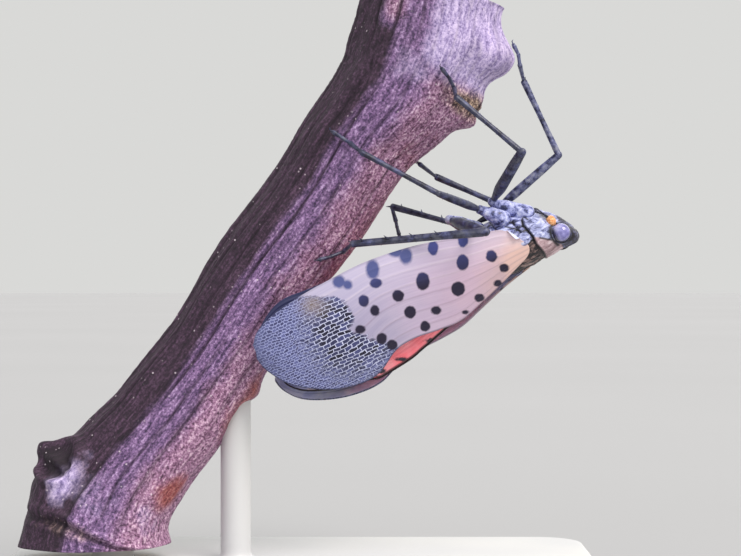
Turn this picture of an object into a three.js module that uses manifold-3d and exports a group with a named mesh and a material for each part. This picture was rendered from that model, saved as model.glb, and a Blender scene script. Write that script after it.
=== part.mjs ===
// Spotted lanternfly (Lycorma delicatula), adult, life size, clinging under a slanting length of vine.
// Units are millimetres. +X runs toward the side the head points to, +Z is up, +Y is away from the viewer.
// The origin is the middle of the underside of the stand's base.
import * as THREE from 'three';
import { mergeVertices } from 'three/addons/utils/BufferGeometryUtils.js';
import Module from 'manifold-3d';

const wasm = await Module();
wasm.setup();

// Driving sizes
const HEAD_TIP = new THREE.Vector3(20.2, 0, 25.73);
const BODY_PITCH = THREE.MathUtils.degToRad(25);
const BODY_ROLL = THREE.MathUtils.degToRad(15);
const JOINT_GAP = 0.2;
const WING_THICKNESS = 0.5;
const VEIN_RAISE = 0.12;
const EYE_RADIUS = 0.68;

const BASE = { width: 43, depth: 28, height: 2.4, corner: 3.5, edge: 0.4 };
const PEG = { x: -13.6, radius: 1.5 };
const ROD = { x: -4.7, radius: 1.1 };
const STEM_Y = 1.0;
const STEM_GAP = 0.3;
const STEM_CUT_HEIGHT = 3.5;

// The vine's middle line in the X-Z plane with its radius, from the lower cut to the upper one
const STEM_STATIONS = [
  { x: -15.6, z: 1.6, radius: 5.3 },
  { x: -14.7, z: 5.0, radius: 5.2 },
  { x: -13.1, z: 8.1, radius: 4.6 },
  { x: -9.6, z: 12.5, radius: 4.25 },
  { x: -6.0, z: 17.5, radius: 3.95 },
  { x: -2.4, z: 23.0, radius: 4.1 },
  { x: 1.3, z: 28.1, radius: 4.1 },
  { x: 4.2, z: 32.7, radius: 4.15 },
  { x: 6.9, z: 36.1, radius: 4.7 },
  { x: 8.5, z: 39.7, radius: 4.95 },
  { x: 9.5, z: 43.6, radius: 4.9 },
];
// Swellings of the bark: share of the length, angle round the stem (0 is the right side), height, spreads
const STEM_SWELLINGS = [
  { along: 0.915, angle: 0, raise: 2.2, spread: 0.035, turn: 0.62 },
  { along: 1.0, angle: 0, raise: 0.6, spread: 0.06, turn: 0.7 },
  { along: 0.84, angle: 0, raise: 1.15, spread: 0.035, turn: 0.5 },
  { along: 0.815, angle: 0, raise: 0.7, spread: 0.012, turn: 0.3 },
  { along: 0.182, angle: 2.8, raise: 1.4, spread: 0.018, turn: 0.45 },
  { along: 0.14, angle: 2.9, raise: 0.7, spread: 0.045, turn: 0.7 },
  { along: 0.385, angle: 0.1, raise: 0.55, spread: 0.014, turn: 0.5 },
  { along: 0.09, angle: 0, raise: 0.7, spread: 0.04, turn: 0.7 },
];
const STEM_FLUTES = 7;
const STEM_FLUTE_DEPTH = 0.1;

const row = new THREE.Group();
const insect = new THREE.Group();
row.add(insect);

// The insect's own axes: x forward, y to its left, z toward its back, with the head tip at zero.
const forward = new THREE.Vector3(Math.cos(BODY_PITCH), 0, Math.sin(BODY_PITCH));
const backUnrolled = new THREE.Vector3(Math.sin(BODY_PITCH), 0, -Math.cos(BODY_PITCH));
const nearSide = new THREE.Vector3(0, -1, 0);
const leftward = nearSide.clone().multiplyScalar(Math.cos(BODY_ROLL))
  .addScaledVector(backUnrolled, -Math.sin(BODY_ROLL));
const dorsal = backUnrolled.clone().multiplyScalar(Math.cos(BODY_ROLL))
  .addScaledVector(nearSide, Math.sin(BODY_ROLL));
insect.position.copy(HEAD_TIP);
insect.quaternion.setFromRotationMatrix(new THREE.Matrix4().makeBasis(forward, leftward, dorsal));
insect.updateMatrixWorld(true);

const at = (back, left, up) => new THREE.Vector3(-back, left, up);
const toRow = (point) => point.clone().applyMatrix4(insect.matrixWorld);

const COLOURS = {
  chitinBlack: 0x16141c, wing: 0xc9b8cc, hindwing: 0xf0606a, waxyBlue: 0x8f94c0, tan: 0xb59aa0,
  brown: 0x4a3238, eye: 0x8a80a8, orange: 0xf0a860, yellow: 0xe8c840, bark: 0x6b4a6b, board: 0xd8d8d4,
};
const material = (colour, roughness) => (
  new THREE.MeshStandardMaterial({ color: colour, roughness, metalness: 0 })
);
const MATERIALS = {
  leg: material(COLOURS.chitinBlack, 0.35),
  wing: material(COLOURS.wing, 0.6),
  hindwing: material(COLOURS.hindwing, 0.6),
  thorax: material(COLOURS.waxyBlue, 0.7),
  pronotum: material(COLOURS.tan, 0.6),
  mesonotum: material(COLOURS.brown, 0.5),
  head: material(COLOURS.chitinBlack, 0.4),
  eye: material(COLOURS.eye, 0.15),
  antenna: material(COLOURS.orange, 0.5),
  abdomen: material(COLOURS.yellow, 0.6),
  bark: material(COLOURS.bark, 0.85),
  stand: material(COLOURS.board, 0.5),
};

function addPart(parent, name, geometry, look) {
  const mesh = new THREE.Mesh(geometry, look);
  mesh.name = name;
  parent.add(mesh);
  return mesh;
}

// Solids for joining and cutting
function solidOf(geometry) {
  const bare = geometry.clone();
  bare.deleteAttribute('normal');
  bare.deleteAttribute('uv');
  const welded = mergeVertices(bare, 1e-4);
  return new wasm.Manifold(new wasm.Mesh({
    numProp: 3,
    vertProperties: new Float32Array(welded.attributes.position.array),
    triVerts: new Uint32Array(welded.index.array),
  }));
}

function geometryOf(solid) {
  const pieces = solid.decompose();
  const largest = pieces.reduce((best, piece) => (piece.volume() > best.volume() ? piece : best));
  const mesh = largest.getMesh();
  const positions = [];
  for (let i = 0; i < mesh.vertProperties.length; i += mesh.numProp) {
    positions.push(mesh.vertProperties[i], mesh.vertProperties[i + 1], mesh.vertProperties[i + 2]);
  }
  const geometry = new THREE.BufferGeometry();
  geometry.setAttribute('position', new THREE.Float32BufferAttribute(positions, 3));
  geometry.setIndex(Array.from(mesh.triVerts));
  return geometry;
}

const unite = (...geometries) => geometries.map(solidOf).reduce((sum, solid) => sum.add(solid));

function meshFrom(vertices, faces) {
  const geometry = new THREE.BufferGeometry();
  const positions = vertices.flatMap((vertex) => vertex.toArray());
  geometry.setAttribute('position', new THREE.Float32BufferAttribute(positions, 3));
  geometry.setIndex(faces.flat());
  return geometry;
}

// A closed skin over rings of equal point counts, with a point at each end. The rings turn anticlockwise
// as seen from the first end, or clockwise when flipped.
function skinOver(rings, first, last, flipped = false) {
  const sides = rings[0].length;
  const vertices = [first, ...rings.flat(), last];
  const faces = [];
  const vertexOf = (ring, side) => 1 + ring * sides + (side % sides);
  for (let side = 0; side < sides; side += 1) {
    faces.push([0, vertexOf(0, side + 1), vertexOf(0, side)]);
    for (let ring = 0; ring < rings.length - 1; ring += 1) {
      faces.push([vertexOf(ring, side), vertexOf(ring, side + 1), vertexOf(ring + 1, side + 1)]);
      faces.push([vertexOf(ring, side), vertexOf(ring + 1, side + 1), vertexOf(ring + 1, side)]);
    }
    const end = rings.length - 1;
    faces.push([vertices.length - 1, vertexOf(end, side), vertexOf(end, side + 1)]);
  }
  return meshFrom(vertices, flipped ? faces.map(([a, b, c]) => [a, c, b]) : faces);
}

// A tube through points, with a radius at each, and pointed-round ends
function limb(points, radii, { sides = 7, grow = 0 } = {}) {
  const rings = [];
  const axisOf = (index) => {
    const before = points[Math.max(index - 1, 0)];
    const after = points[Math.min(index + 1, points.length - 1)];
    return after.clone().sub(before).normalize();
  };
  const overall = points[points.length - 1].clone().sub(points[0]).normalize();
  const reference = Math.abs(overall.y) < 0.9 ? new THREE.Vector3(0, 1, 0) : new THREE.Vector3(1, 0, 0);
  const ringAt = (centre, axis, radius) => {
    const thin = reference.clone().addScaledVector(axis, -reference.dot(axis)).normalize();
    const wide = new THREE.Vector3().crossVectors(thin, axis);
    return Array.from({ length: sides }, (_, side) => {
      const angle = (2 * Math.PI * side) / sides;
      return centre.clone().addScaledVector(wide, radius * Math.cos(angle))
        .addScaledVector(thin, radius * Math.sin(angle));
    });
  };
  const END_INSET = 0.55;
  const startAxis = axisOf(0);
  const endAxis = axisOf(points.length - 1);
  const startRadius = radii[0] + grow;
  const endRadius = radii[radii.length - 1] + grow;
  const start = points[0].clone().addScaledVector(startAxis, -startRadius * END_INSET);
  const end = points[points.length - 1].clone().addScaledVector(endAxis, endRadius * END_INSET);
  points.forEach((point, index) => rings.push(ringAt(point, axisOf(index), radii[index] + grow)));
  return skinOver(rings, start, end);
}

// A body form lofted along the insect's length from stations of back, middle height, half height, half width
function bodyForm(stations, { sides = 16, grow = 0, steps = 3 } = {}) {
  const rings = [];
  const lerpAt = (key, t) => {
    const clampIndex = (i) => Math.min(Math.max(i, 0), stations.length - 1);
    const index = Math.min(Math.floor(t), stations.length - 2);
    const f = t - index;
    const [p0, p1, p2, p3] = [-1, 0, 1, 2].map((k) => stations[clampIndex(index + k)][key]);
    return 0.5 * (2 * p1 + (p2 - p0) * f + (2 * p0 - 5 * p1 + 4 * p2 - p3) * f * f
      + (3 * p1 - p0 - 3 * p2 + p3) * f * f * f);
  };
  const count = (stations.length - 1) * steps;
  for (let ring = 0; ring <= count; ring += 1) {
    const t = ring / steps;
    const [back, middle, high, wide] = ['back', 'middle', 'high', 'wide'].map((key) => lerpAt(key, t));
    rings.push(Array.from({ length: sides }, (_, side) => {
      const angle = (2 * Math.PI * side) / sides;
      return at(back, (wide + grow) * Math.sin(angle), middle + (high + grow) * Math.cos(angle));
    }));
  }
  const first = stations[0];
  const last = stations[stations.length - 1];
  const CAP = 0.35;
  return skinOver(
    rings,
    at(first.back - CAP * first.high - grow, 0, first.middle),
    at(last.back + CAP * last.high + grow, 0, last.middle),
  );
}

function ellipsoid(centre, radii, { columns = 14, rows = 9 } = {}) {
  const geometry = new THREE.SphereGeometry(1, columns, rows);
  geometry.scale(radii.x, radii.y, radii.z);
  geometry.translate(centre.x, centre.y, centre.z);
  return geometry;
}

// A straight-sided block over an outline of [back, up] corners in the insect's side view
function sideBlock(corners) {
  const REACH = 9;
  const shape = new THREE.Shape(corners.map(([back, up]) => new THREE.Vector2(-back, up)));
  const geometry = new THREE.ExtrudeGeometry(shape, { depth: 2 * REACH, bevelEnabled: false });
  geometry.rotateX(Math.PI / 2);
  geometry.translate(0, REACH, 0);
  return geometry;
}

// A thin closed panel about a middle surface(u, v), alike on both faces, raised outside along its veins
function panel(surface, { columns, rows, thickness, raise = () => 0, outward }) {
  const outer = [];
  const inner = [];
  for (let i = 0; i <= columns; i += 1) {
    for (let j = 0; j <= rows; j += 1) {
      const u = i / columns;
      const v = j / rows;
      const centre = surface(u, v);
      const normal = surfaceNormal(surface, u, v, outward);
      outer.push(centre.clone().addScaledVector(normal, thickness / 2 + raise(i, j, u, v)));
      inner.push(centre.clone().addScaledVector(normal, -thickness / 2));
    }
  }
  const perColumn = rows + 1;
  const half = outer.length;
  const faces = [];
  const quad = (a, b, c, d) => faces.push([a, b, c], [a, c, d]);
  for (let i = 0; i < columns; i += 1) {
    for (let j = 0; j < rows; j += 1) {
      const a = i * perColumn + j;
      const [b, c, d] = [a + perColumn, a + perColumn + 1, a + 1];
      quad(a, b, c, d);
      faces.push([half + a, half + c, half + b], [half + a, half + d, half + c]);
    }
  }
  for (let i = 0; i < columns; i += 1) {
    const low = i * perColumn;
    const high = low + rows;
    quad(low + perColumn, low, half + low, half + low + perColumn);
    quad(high, high + perColumn, half + high + perColumn, half + high);
  }
  for (let j = 0; j < rows; j += 1) {
    const root = j;
    const tip = columns * perColumn + j;
    quad(root, root + 1, half + root + 1, half + root);
    quad(tip + 1, tip, half + tip, half + tip + 1);
  }
  const geometry = meshFrom([...outer, ...inner], faces);
  if (solidOf(geometry).volume() < 0) {
    geometry.setIndex(faces.map(([a, b, c]) => [a, c, b]).flat());
  }
  return geometry;
}

// Perch: a fluted woody stem whose middle line stays in one plane
const stemLine = new THREE.CatmullRomCurve3(
  STEM_STATIONS.map(({ x, z }) => new THREE.Vector3(x, STEM_Y, z)),
);
function stemRadius(t, angle) {
  const place = t * (STEM_STATIONS.length - 1);
  const index = Math.min(Math.floor(place), STEM_STATIONS.length - 2);
  const share = THREE.MathUtils.smoothstep(place - index, 0, 1);
  let radius = THREE.MathUtils.lerp(STEM_STATIONS[index].radius, STEM_STATIONS[index + 1].radius, share);
  radius += STEM_FLUTE_DEPTH * Math.cos(STEM_FLUTES * angle + 5 * t);
  STEM_SWELLINGS.forEach(({ along, angle: middle, raise, spread, turn }) => {
    const turned = Math.atan2(Math.sin(angle - middle), Math.cos(angle - middle));
    radius += raise * Math.exp(-(((t - along) / spread) ** 2) - (turned / turn) ** 2);
  });
  return radius;
}
function stemFrame(t) {
  const centre = stemLine.getPoint(t);
  const tangent = stemLine.getTangent(t);
  const right = new THREE.Vector3(tangent.z, 0, -tangent.x);
  return { centre, right };
}
function stemPoint(t, angle, grow = 0) {
  const { centre, right } = stemFrame(t);
  const reach = stemRadius(t, angle) + grow;
  return centre.clone().addScaledVector(right, reach * Math.cos(angle))
    .addScaledVector(nearSide, reach * Math.sin(angle));
}
function stemGeometry({ rings = 60, sides = 24, grow = 0 } = {}) {
  const loops = Array.from({ length: rings + 1 }, (_, ring) => (
    Array.from({ length: sides }, (__, side) => (
      stemPoint(ring / rings, (2 * Math.PI * side) / sides, grow)
    ))
  ));
  return skinOver(loops, stemLine.getPoint(0), stemLine.getPoint(1), true);
}
// The point of the bark over a given X and Z, on the viewer's side or the far one
function barkAt(x, z, near = true, lift = 0) {
  const SEARCH = 400;
  let best = { t: 0, distance: Infinity };
  for (let i = 0; i <= SEARCH; i += 1) {
    const centre = stemLine.getPoint(i / SEARCH);
    const distance = Math.hypot(centre.x - x, centre.z - z);
    if (distance < best.distance) best = { t: i / SEARCH, distance };
  }
  const { centre, right } = stemFrame(best.t);
  const across = (x - centre.x) * right.x + (z - centre.z) * right.z;
  let angle = near ? Math.PI / 2 : -Math.PI / 2;
  for (let i = 0; i < 8; i += 1) {
    const share = THREE.MathUtils.clamp(across / stemRadius(best.t, angle), -1, 1);
    angle = near ? Math.acos(share) : -Math.acos(share);
  }
  return stemPoint(best.t, angle, lift);
}

// Stand: a flat base with a short peg and one rod, both up to the perch
function standBase() {
  const { width, depth, height, corner, edge } = BASE;
  const halfWidth = width / 2 - edge;
  const halfDepth = depth / 2 - edge;
  const shape = new THREE.Shape();
  shape.moveTo(-halfWidth + corner, -halfDepth);
  shape.lineTo(halfWidth - corner, -halfDepth);
  shape.absarc(halfWidth - corner, -halfDepth + corner, corner, -Math.PI / 2, 0);
  shape.lineTo(halfWidth, halfDepth - corner);
  shape.absarc(halfWidth - corner, halfDepth - corner, corner, 0, Math.PI / 2);
  shape.lineTo(-halfWidth + corner, halfDepth);
  shape.absarc(-halfWidth + corner, halfDepth - corner, corner, Math.PI / 2, Math.PI);
  shape.lineTo(-halfWidth, -halfDepth + corner);
  shape.absarc(-halfWidth + corner, -halfDepth + corner, corner, Math.PI, 1.5 * Math.PI);
  const geometry = new THREE.ExtrudeGeometry(shape, {
    depth: height - 2 * edge, bevelEnabled: true, bevelThickness: edge, bevelSize: edge,
    bevelSegments: 1, curveSegments: 5,
  });
  geometry.translate(0, 0, edge);
  return geometry;
}
function aboveHeight(height) {
  const SPAN = 200;
  const block = new THREE.BoxGeometry(SPAN, SPAN, SPAN);
  block.translate(0, 0, height + SPAN / 2);
  return solidOf(block);
}
const stem = solidOf(stemGeometry()).intersect(aboveHeight(STEM_CUT_HEIGHT));
const grownStem = solidOf(stemGeometry({ grow: STEM_GAP }))
  .intersect(aboveHeight(STEM_CUT_HEIGHT - STEM_GAP));
function standRod({ x, radius }) {
  const foot = BASE.height + JOINT_GAP;
  const stemMiddle = STEM_STATIONS.find((station) => station.x > x).z;
  const geometry = new THREE.CylinderGeometry(radius, radius, stemMiddle - foot, 20);
  geometry.rotateX(Math.PI / 2);
  geometry.translate(x, STEM_Y, (stemMiddle + foot) / 2);
  const pieces = solidOf(geometry).subtract(grownStem).decompose();
  const lowest = pieces.reduce((best, piece) => (
    piece.boundingBox().min[2] < best.boundingBox().min[2] ? piece : best
  ));
  return geometryOf(lowest);
}
addPart(row, 'stand_base', standBase(), MATERIALS.stand);
addPart(row, 'stand_rod_1', standRod(PEG), MATERIALS.stand);
addPart(row, 'stand_rod_2', standRod(ROD), MATERIALS.stand);
addPart(row, 'perch_stem', geometryOf(stem), MATERIALS.bark);

// Body: one form, parted by thin cuts in the side view
const BODY_STATIONS = [
  { back: 1.2, middle: -0.9, high: 0.9, wide: 1.35 },
  { back: 2.0, middle: -1.3, high: 1.5, wide: 1.9 },
  { back: 3.0, middle: -1.5, high: 1.75, wide: 2.15 },
  { back: 4.2, middle: -1.65, high: 2.0, wide: 2.25 },
  { back: 5.5, middle: -1.75, high: 2.05, wide: 2.25 },
  { back: 7.0, middle: -1.85, high: 1.75, wide: 2.05 },
  { back: 9.0, middle: -1.9, high: 1.45, wide: 1.9 },
  { back: 11.0, middle: -1.8, high: 1.2, wide: 1.6 },
  { back: 12.8, middle: -1.6, high: 0.85, wide: 1.05 },
  { back: 14.0, middle: -1.45, high: 0.45, wide: 0.5 },
];
const FAR = 12;
const PRONOTUM_FRONT = [[1.15, 0.6], [1.5, -0.05], [1.85, -0.7], [1.95, -1.6], [2.2, -2.5], [2.6, -FAR]];
const PRONOTUM_REAR = [
  [2.75, 0.8], [2.95, 0.1], [3.25, -0.5], [3.25, -1.0], [3.5, -2.0], [3.3, -2.9], [3.0, -FAR],
];
const shifted = (line, by) => line.map(([back, up]) => [back + by, up]);
const MESONOTUM_FLOOR = [[6.3, 0.35], [5.2, -0.05], [4.2, -0.45], [3.45, -0.75]];
const ABDOMEN_FRONT = [[6.9, 2], [6.9, -FAR]];

const bodySolid = (grow = 0) => solidOf(bodyForm(BODY_STATIONS, { grow }));
const pronotumBlock = sideBlock([[1.0, 3], ...PRONOTUM_FRONT, ...[...PRONOTUM_REAR].reverse(), [2.7, 3]]);
const rearOfPronotum = shifted(PRONOTUM_REAR, JOINT_GAP);
const mesonotumBlock = sideBlock([
  [rearOfPronotum[0][0], 3], ...rearOfPronotum.slice(0, 3), ...[...MESONOTUM_FLOOR].reverse(), [6.5, 3],
]);
const mesonotumClearBlock = sideBlock([
  [rearOfPronotum[0][0] - 1, 3], [2.9, -0.95], ...[...MESONOTUM_FLOOR].reverse()
    .map(([back, up]) => [back + 0.05, up - JOINT_GAP]), [6.75, 3],
]);
const thoraxBlock = sideBlock([
  [rearOfPronotum[0][0], 3], ...rearOfPronotum, ...[...ABDOMEN_FRONT].reverse(),
]);
const abdomenBlock = sideBlock([[7.1, 3], [7.1, -FAR], [16, -FAR], [16, 3]]);

let pronotum = bodySolid().intersect(solidOf(pronotumBlock));
const mesonotum = bodySolid().intersect(solidOf(mesonotumBlock));
const thorax = bodySolid().intersect(solidOf(thoraxBlock)).subtract(solidOf(mesonotumClearBlock));
const abdomen = bodySolid().intersect(solidOf(abdomenBlock));
addPart(insect, 'mesonotum', geometryOf(mesonotum), MATERIALS.mesonotum);
addPart(insect, 'thorax', geometryOf(thorax), MATERIALS.thorax);
addPart(insect, 'abdomen', geometryOf(abdomen), MATERIALS.abdomen);

// Head: blunt, a little upturned, with the long face sloping down and back to the beak
const HEAD_STATIONS = [
  { back: 0.08, middle: -0.33, high: 0.36, wide: 0.5 },
  { back: 0.3, middle: -0.4, high: 0.6, wide: 0.95 },
  { back: 0.75, middle: -0.55, high: 0.78, wide: 1.3 },
  { back: 1.25, middle: -0.8, high: 1.0, wide: 1.45 },
  { back: 1.8, middle: -1.0, high: 1.05, wide: 1.45 },
];
const FACE_POINTS = [at(0.75, 0, -0.7), at(1.25, 0, -1.55), at(1.62, 0, -2.2), at(1.9, 0, -2.85)];
const FACE_RADII = [0.7, 0.72, 0.62, 0.34];
const EYE_PLACE = { back: 1.22, side: 1.38, up: -0.55 };
const ANTENNA_PLACE = { back: 1.5, side: 1.42, up: -1.62 };
const PEDICEL_RADII = new THREE.Vector3(0.36, 0.46, 0.42);

const headBlock = sideBlock([
  [-2, 3], [1.0 - JOINT_GAP, 3], ...shifted(PRONOTUM_FRONT, -JOINT_GAP), [-2, -FAR],
]);
let head = unite(
  bodyForm(HEAD_STATIONS, { steps: 2, sides: 18 }),
  limb(FACE_POINTS, FACE_RADII, { sides: 12 }),
).intersect(solidOf(headBlock));
for (const [name, side] of [['left', 1], ['right', -1]]) {
  const centre = at(EYE_PLACE.back, side * EYE_PLACE.side, EYE_PLACE.up);
  const eyeRadii = new THREE.Vector3(EYE_RADIUS, EYE_RADIUS * 0.9, EYE_RADIUS);
  const socketRadii = eyeRadii.clone().addScalar(JOINT_GAP * 0.6);
  const bulb = at(ANTENNA_PLACE.back, side * ANTENNA_PLACE.side, ANTENNA_PLACE.up);
  const bulbSocketRadii = PEDICEL_RADII.clone().addScalar(JOINT_GAP * 0.6);
  for (const socket of [ellipsoid(centre, socketRadii), ellipsoid(bulb, bulbSocketRadii)]) {
    head = head.subtract(solidOf(socket));
    pronotum = pronotum.subtract(solidOf(socket));
  }
  addPart(insect, `eye_${name}`, ellipsoid(centre, eyeRadii), MATERIALS.eye);

  const bristleEnd = at(2.15, side * 2.35, -2.75);
  const bristlePoints = [bulb, bulb.clone().lerp(bristleEnd, 0.5), bristleEnd];
  const bristle = limb(bristlePoints, [0.2, 0.12, 0.05], { sides: 6 });
  const antenna = unite(ellipsoid(bulb, PEDICEL_RADII, { columns: 12, rows: 8 }), bristle);
  addPart(insect, `antenna_${name}`, geometryOf(antenna), MATERIALS.antenna);
}
addPart(insect, 'head', geometryOf(head), MATERIALS.head);
addPart(insect, 'pronotum', geometryOf(pronotum), MATERIALS.pronotum);

const BEAK_POINTS = [
  at(2.02, 0, -3.25), at(3.0, 0, -3.72), at(4.2, 0, -4.1), at(5.6, 0, -4.25), at(6.4, 0, -4.22),
];
addPart(insect, 'beak', limb(BEAK_POINTS, [0.27, 0.26, 0.25, 0.22, 0.12], { sides: 8 }), MATERIALS.head);

// Wings: [back, left, up] of the dorsal margin and of the costal margin at matching stations
const FOREWING_MARGINS = [
  [[4.75, 1.3, 0.05], [4.45, 2.75, -1.25]],
  [[6.39, 0.75, 0.58], [5.3, 3.1, -1.8]],
  [[8.52, 0.65, 1.32], [7.1, 3.8, -2.4]],
  [[10.54, 0.8, 1.93], [9.2, 4.45, -2.95]],
  [[12.09, 1.3, 1.98], [11.2, 4.95, -3.3]],
  [[13.98, 1.85, 1.92], [13.1, 5.2, -3.52]],
  [[15.4, 1.85, 2.13], [15.0, 5.3, -3.65]],
  [[17.45, 1.25, 3.3], [17.3, 5.4, -3.57]],
  [[19.68, 1.35, 3.43], [19.7, 5.4, -3.4]],
  [[21.6, 1.9, 2.77], [21.3, 5.3, -3.17]],
  [[23.2, 2.7, 1.68], [22.7, 5.0, -2.9]],
  [[24.15, 3.5, 0.13], [23.75, 4.75, -2.45]],
  [[24.42, 4.0, -0.95], [24.36, 4.5, -1.85]],
];
const WING_ARCH = 0.07;
const HINDWING = {
  from: 0.12, to: 0.925, notch: 0.46, depth: 0.86, midGap: 0.42, overDorsal: -0.16, overCostal: 0.09,
};

function forewingSurface(side) {
  const [dorsalEdge, costalEdge] = [0, 1].map((edge) => new THREE.CatmullRomCurve3(
    FOREWING_MARGINS.map((pair) => at(pair[edge][0], side * pair[edge][1], pair[edge][2])),
  ));
  return (u, v) => {
    const start = dorsalEdge.getPoint(u);
    const chord = costalEdge.getPoint(u).sub(start);
    const out = new THREE.Vector3(0, Math.abs(chord.z) * side, Math.abs(chord.y)).normalize();
    return start.addScaledVector(chord, v)
      .addScaledVector(out, WING_ARCH * chord.length() * Math.sin(Math.PI * v));
  };
}
function surfaceNormal(surface, u, v, outward) {
  const STEP = 1e-3;
  const alongU = surface(Math.min(u + STEP, 1), v).sub(surface(Math.max(u - STEP, 0), v));
  const alongV = surface(u, v + STEP).sub(surface(u, v - STEP));
  const normal = new THREE.Vector3().crossVectors(alongU, alongV).normalize();
  return normal.dot(outward) < 0 ? normal.negate() : normal;
}
// The hindwing lies folded under the forewing at an even depth. Its inner edge keeps off the middle plane,
// and its outer edge shows past the forewing's front margin near the tip.
function hindwingSurface(side, outward) {
  const over = forewingSurface(side);
  const under = (u, v) => over(u, v).addScaledVector(surfaceNormal(over, u, v, outward), -HINDWING.depth);
  const innerEdge = (u) => {
    const notch = Math.exp(-(((u - HINDWING.notch) / 0.15) ** 4));
    let [low, high] = [0.03 + (HINDWING.overDorsal - 0.03) * notch, 0.6];
    if (under(u, low).y * side > HINDWING.midGap) return low;
    for (let i = 0; i < 24; i += 1) {
      const middle = (low + high) / 2;
      if (under(u, middle).y * side > HINDWING.midGap) high = middle; else low = middle;
    }
    return high;
  };
  return (u, v) => {
    const wingU = THREE.MathUtils.lerp(HINDWING.from, HINDWING.to, u);
    const outerEdge = 1 + HINDWING.overCostal * Math.exp(-(((wingU - 0.79) / 0.13) ** 2)) - 0.05 * (1 - u);
    return under(wingU, THREE.MathUtils.lerp(innerEdge(wingU), outerEdge, v));
  };
}
const FOREWING_GRID = { columns: 44, rows: 14 };
const FOREWING_VEIN_ROWS = new Set([1, 4, 7, 9, 11]);
const NET_START = 0.66;
const forewingVeins = (i, j, u) => {
  const along = FOREWING_VEIN_ROWS.has(j) ? 1 : 0;
  const netted = u > NET_START && u < 0.97 && i % 2 === 0 ? 0.7 : 0;
  return j > 0 && j < FOREWING_GRID.rows ? VEIN_RAISE * Math.max(along, netted) : 0;
};
const HINDWING_GRID = { columns: 22, rows: 8 };
const hindwingVeins = (i, j) => (j % 2 === 0 && j > 0 && j < HINDWING_GRID.rows ? VEIN_RAISE * 0.7 : 0);
const grownBody = bodySolid(JOINT_GAP);

for (const [name, side] of [['left', 1], ['right', -1]]) {
  const outward = new THREE.Vector3(0, side * 0.8, 0.6);
  const forewing = panel(forewingSurface(side), {
    ...FOREWING_GRID, thickness: WING_THICKNESS, raise: forewingVeins, outward,
  });
  const hindwing = panel(hindwingSurface(side, outward), {
    ...HINDWING_GRID, thickness: WING_THICKNESS, raise: hindwingVeins, outward,
  });
  addPart(insect, `forewing_${name}`, geometryOf(solidOf(forewing).subtract(grownBody)), MATERIALS.wing);
  addPart(insect, `hindwing_${name}`, geometryOf(solidOf(hindwing).subtract(grownBody)), MATERIALS.hindwing);

  const scale = solidOf(ellipsoid(at(3.72, side * 2.42, -1.0), new THREE.Vector3(0.6, 0.34, 0.62)));
  const clearOfWing = limb(
    [at(4.6, side * 1.0, 0.5), at(4.6, side * 3.1, -1.7)], [0.55, 0.55], { sides: 8 },
  );
  addPart(
    insect, `tegula_${name}`,
    geometryOf(scale.subtract(grownBody).subtract(solidOf(clearOfWing))), MATERIALS.pronotum,
  );
}

// Legs: the hip on the insect, then knee, ankle and foot in the stand's own axes
const LEGS = [
  {
    name: 'front_left', root: at(2.75, 1.45, -2.85), hip: at(4.75, 1.25, -4.75),
    knee: [15.66, -4.7, 31.58], ankle: [11.06, -4.3, 35.48],
    foot: [[10.84, 36.32], [10.5, 36.95], [10.03, 37.5]], near: true, femur: 0.36, tibia: 0.25,
  },
  {
    name: 'front_right', root: at(2.75, -1.45, -2.85), hip: at(4.6, -1.1, -4.75),
    knee: [18.84, 2.0, 31.76], ankle: [16.3, 2.2, 37.2],
    foot: [[16.2, 38.2], [16.0, 39.0], [15.4, 39.7]], near: false, femur: 0.37, tibia: 0.26,
  },
  {
    name: 'mid_left', root: at(4.5, 1.85, -3.1), hip: at(5.7, 2.45, -4.25),
    knee: [9.87, -4.9, 28.64], ankle: [4.42, -4.0, 31.61],
    foot: [[3.64, 32.22], [3.1, 32.6], [2.6, 33.0]], near: true, femur: 0.34, tibia: 0.25,
  },
  {
    name: 'mid_right', root: at(4.5, -1.85, -3.1), hip: at(5.4, -2.4, -4.2),
    knee: [15.48, 4.9, 27.91], ankle: [9.9, 2.6, 30.2],
    foot: [[8.75, 31.0], [8.2, 31.55], [7.6, 32.1]], near: false, femur: 0.34, tibia: 0.25,
  },
  {
    name: 'hind_left', root: at(6.5, 1.45, -3.3), hip: at(8.1, 2.2, -4.75),
    knee: [13.1, -5.4, 25.98], ankle: [3.78, -4.0, 25.16],
    foot: [[2.94, 24.74], [2.1, 24.4], [1.3, 24.12]], near: true, femur: 0.42, tibia: 0.27,
  },
  {
    name: 'hind_right', root: at(6.5, -1.45, -3.3), hip: at(7.9, -2.1, -4.7),
    knee: [14.69, 4.6, 25.89], ankle: [6.68, 7.5, 28.19],
    toes: [[7.0, 7.4, 27.1], [7.1, 7.35, 26.6], [7.24, 7.3, 26.1]], femur: 0.42, tibia: 0.25,
  },
];
const TIBIAL_SPINES = 4;
const FOOT_LIFT = 0.46;
const vector = ([x, y, z]) => new THREE.Vector3(x, y, z);

function between(start, end, share) {
  return start.clone().lerp(end, share);
}
// A straight limb between two joints, kept short of each by its clearance
function segment(start, end, clearStart, clearEnd, radii, options) {
  const axis = end.clone().sub(start).normalize();
  const from = start.clone().addScaledVector(axis, clearStart);
  const to = end.clone().addScaledVector(axis, -clearEnd);
  const points = radii.map((_, index) => between(from, to, index / (radii.length - 1)));
  return limb(points, radii, options);
}

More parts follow.
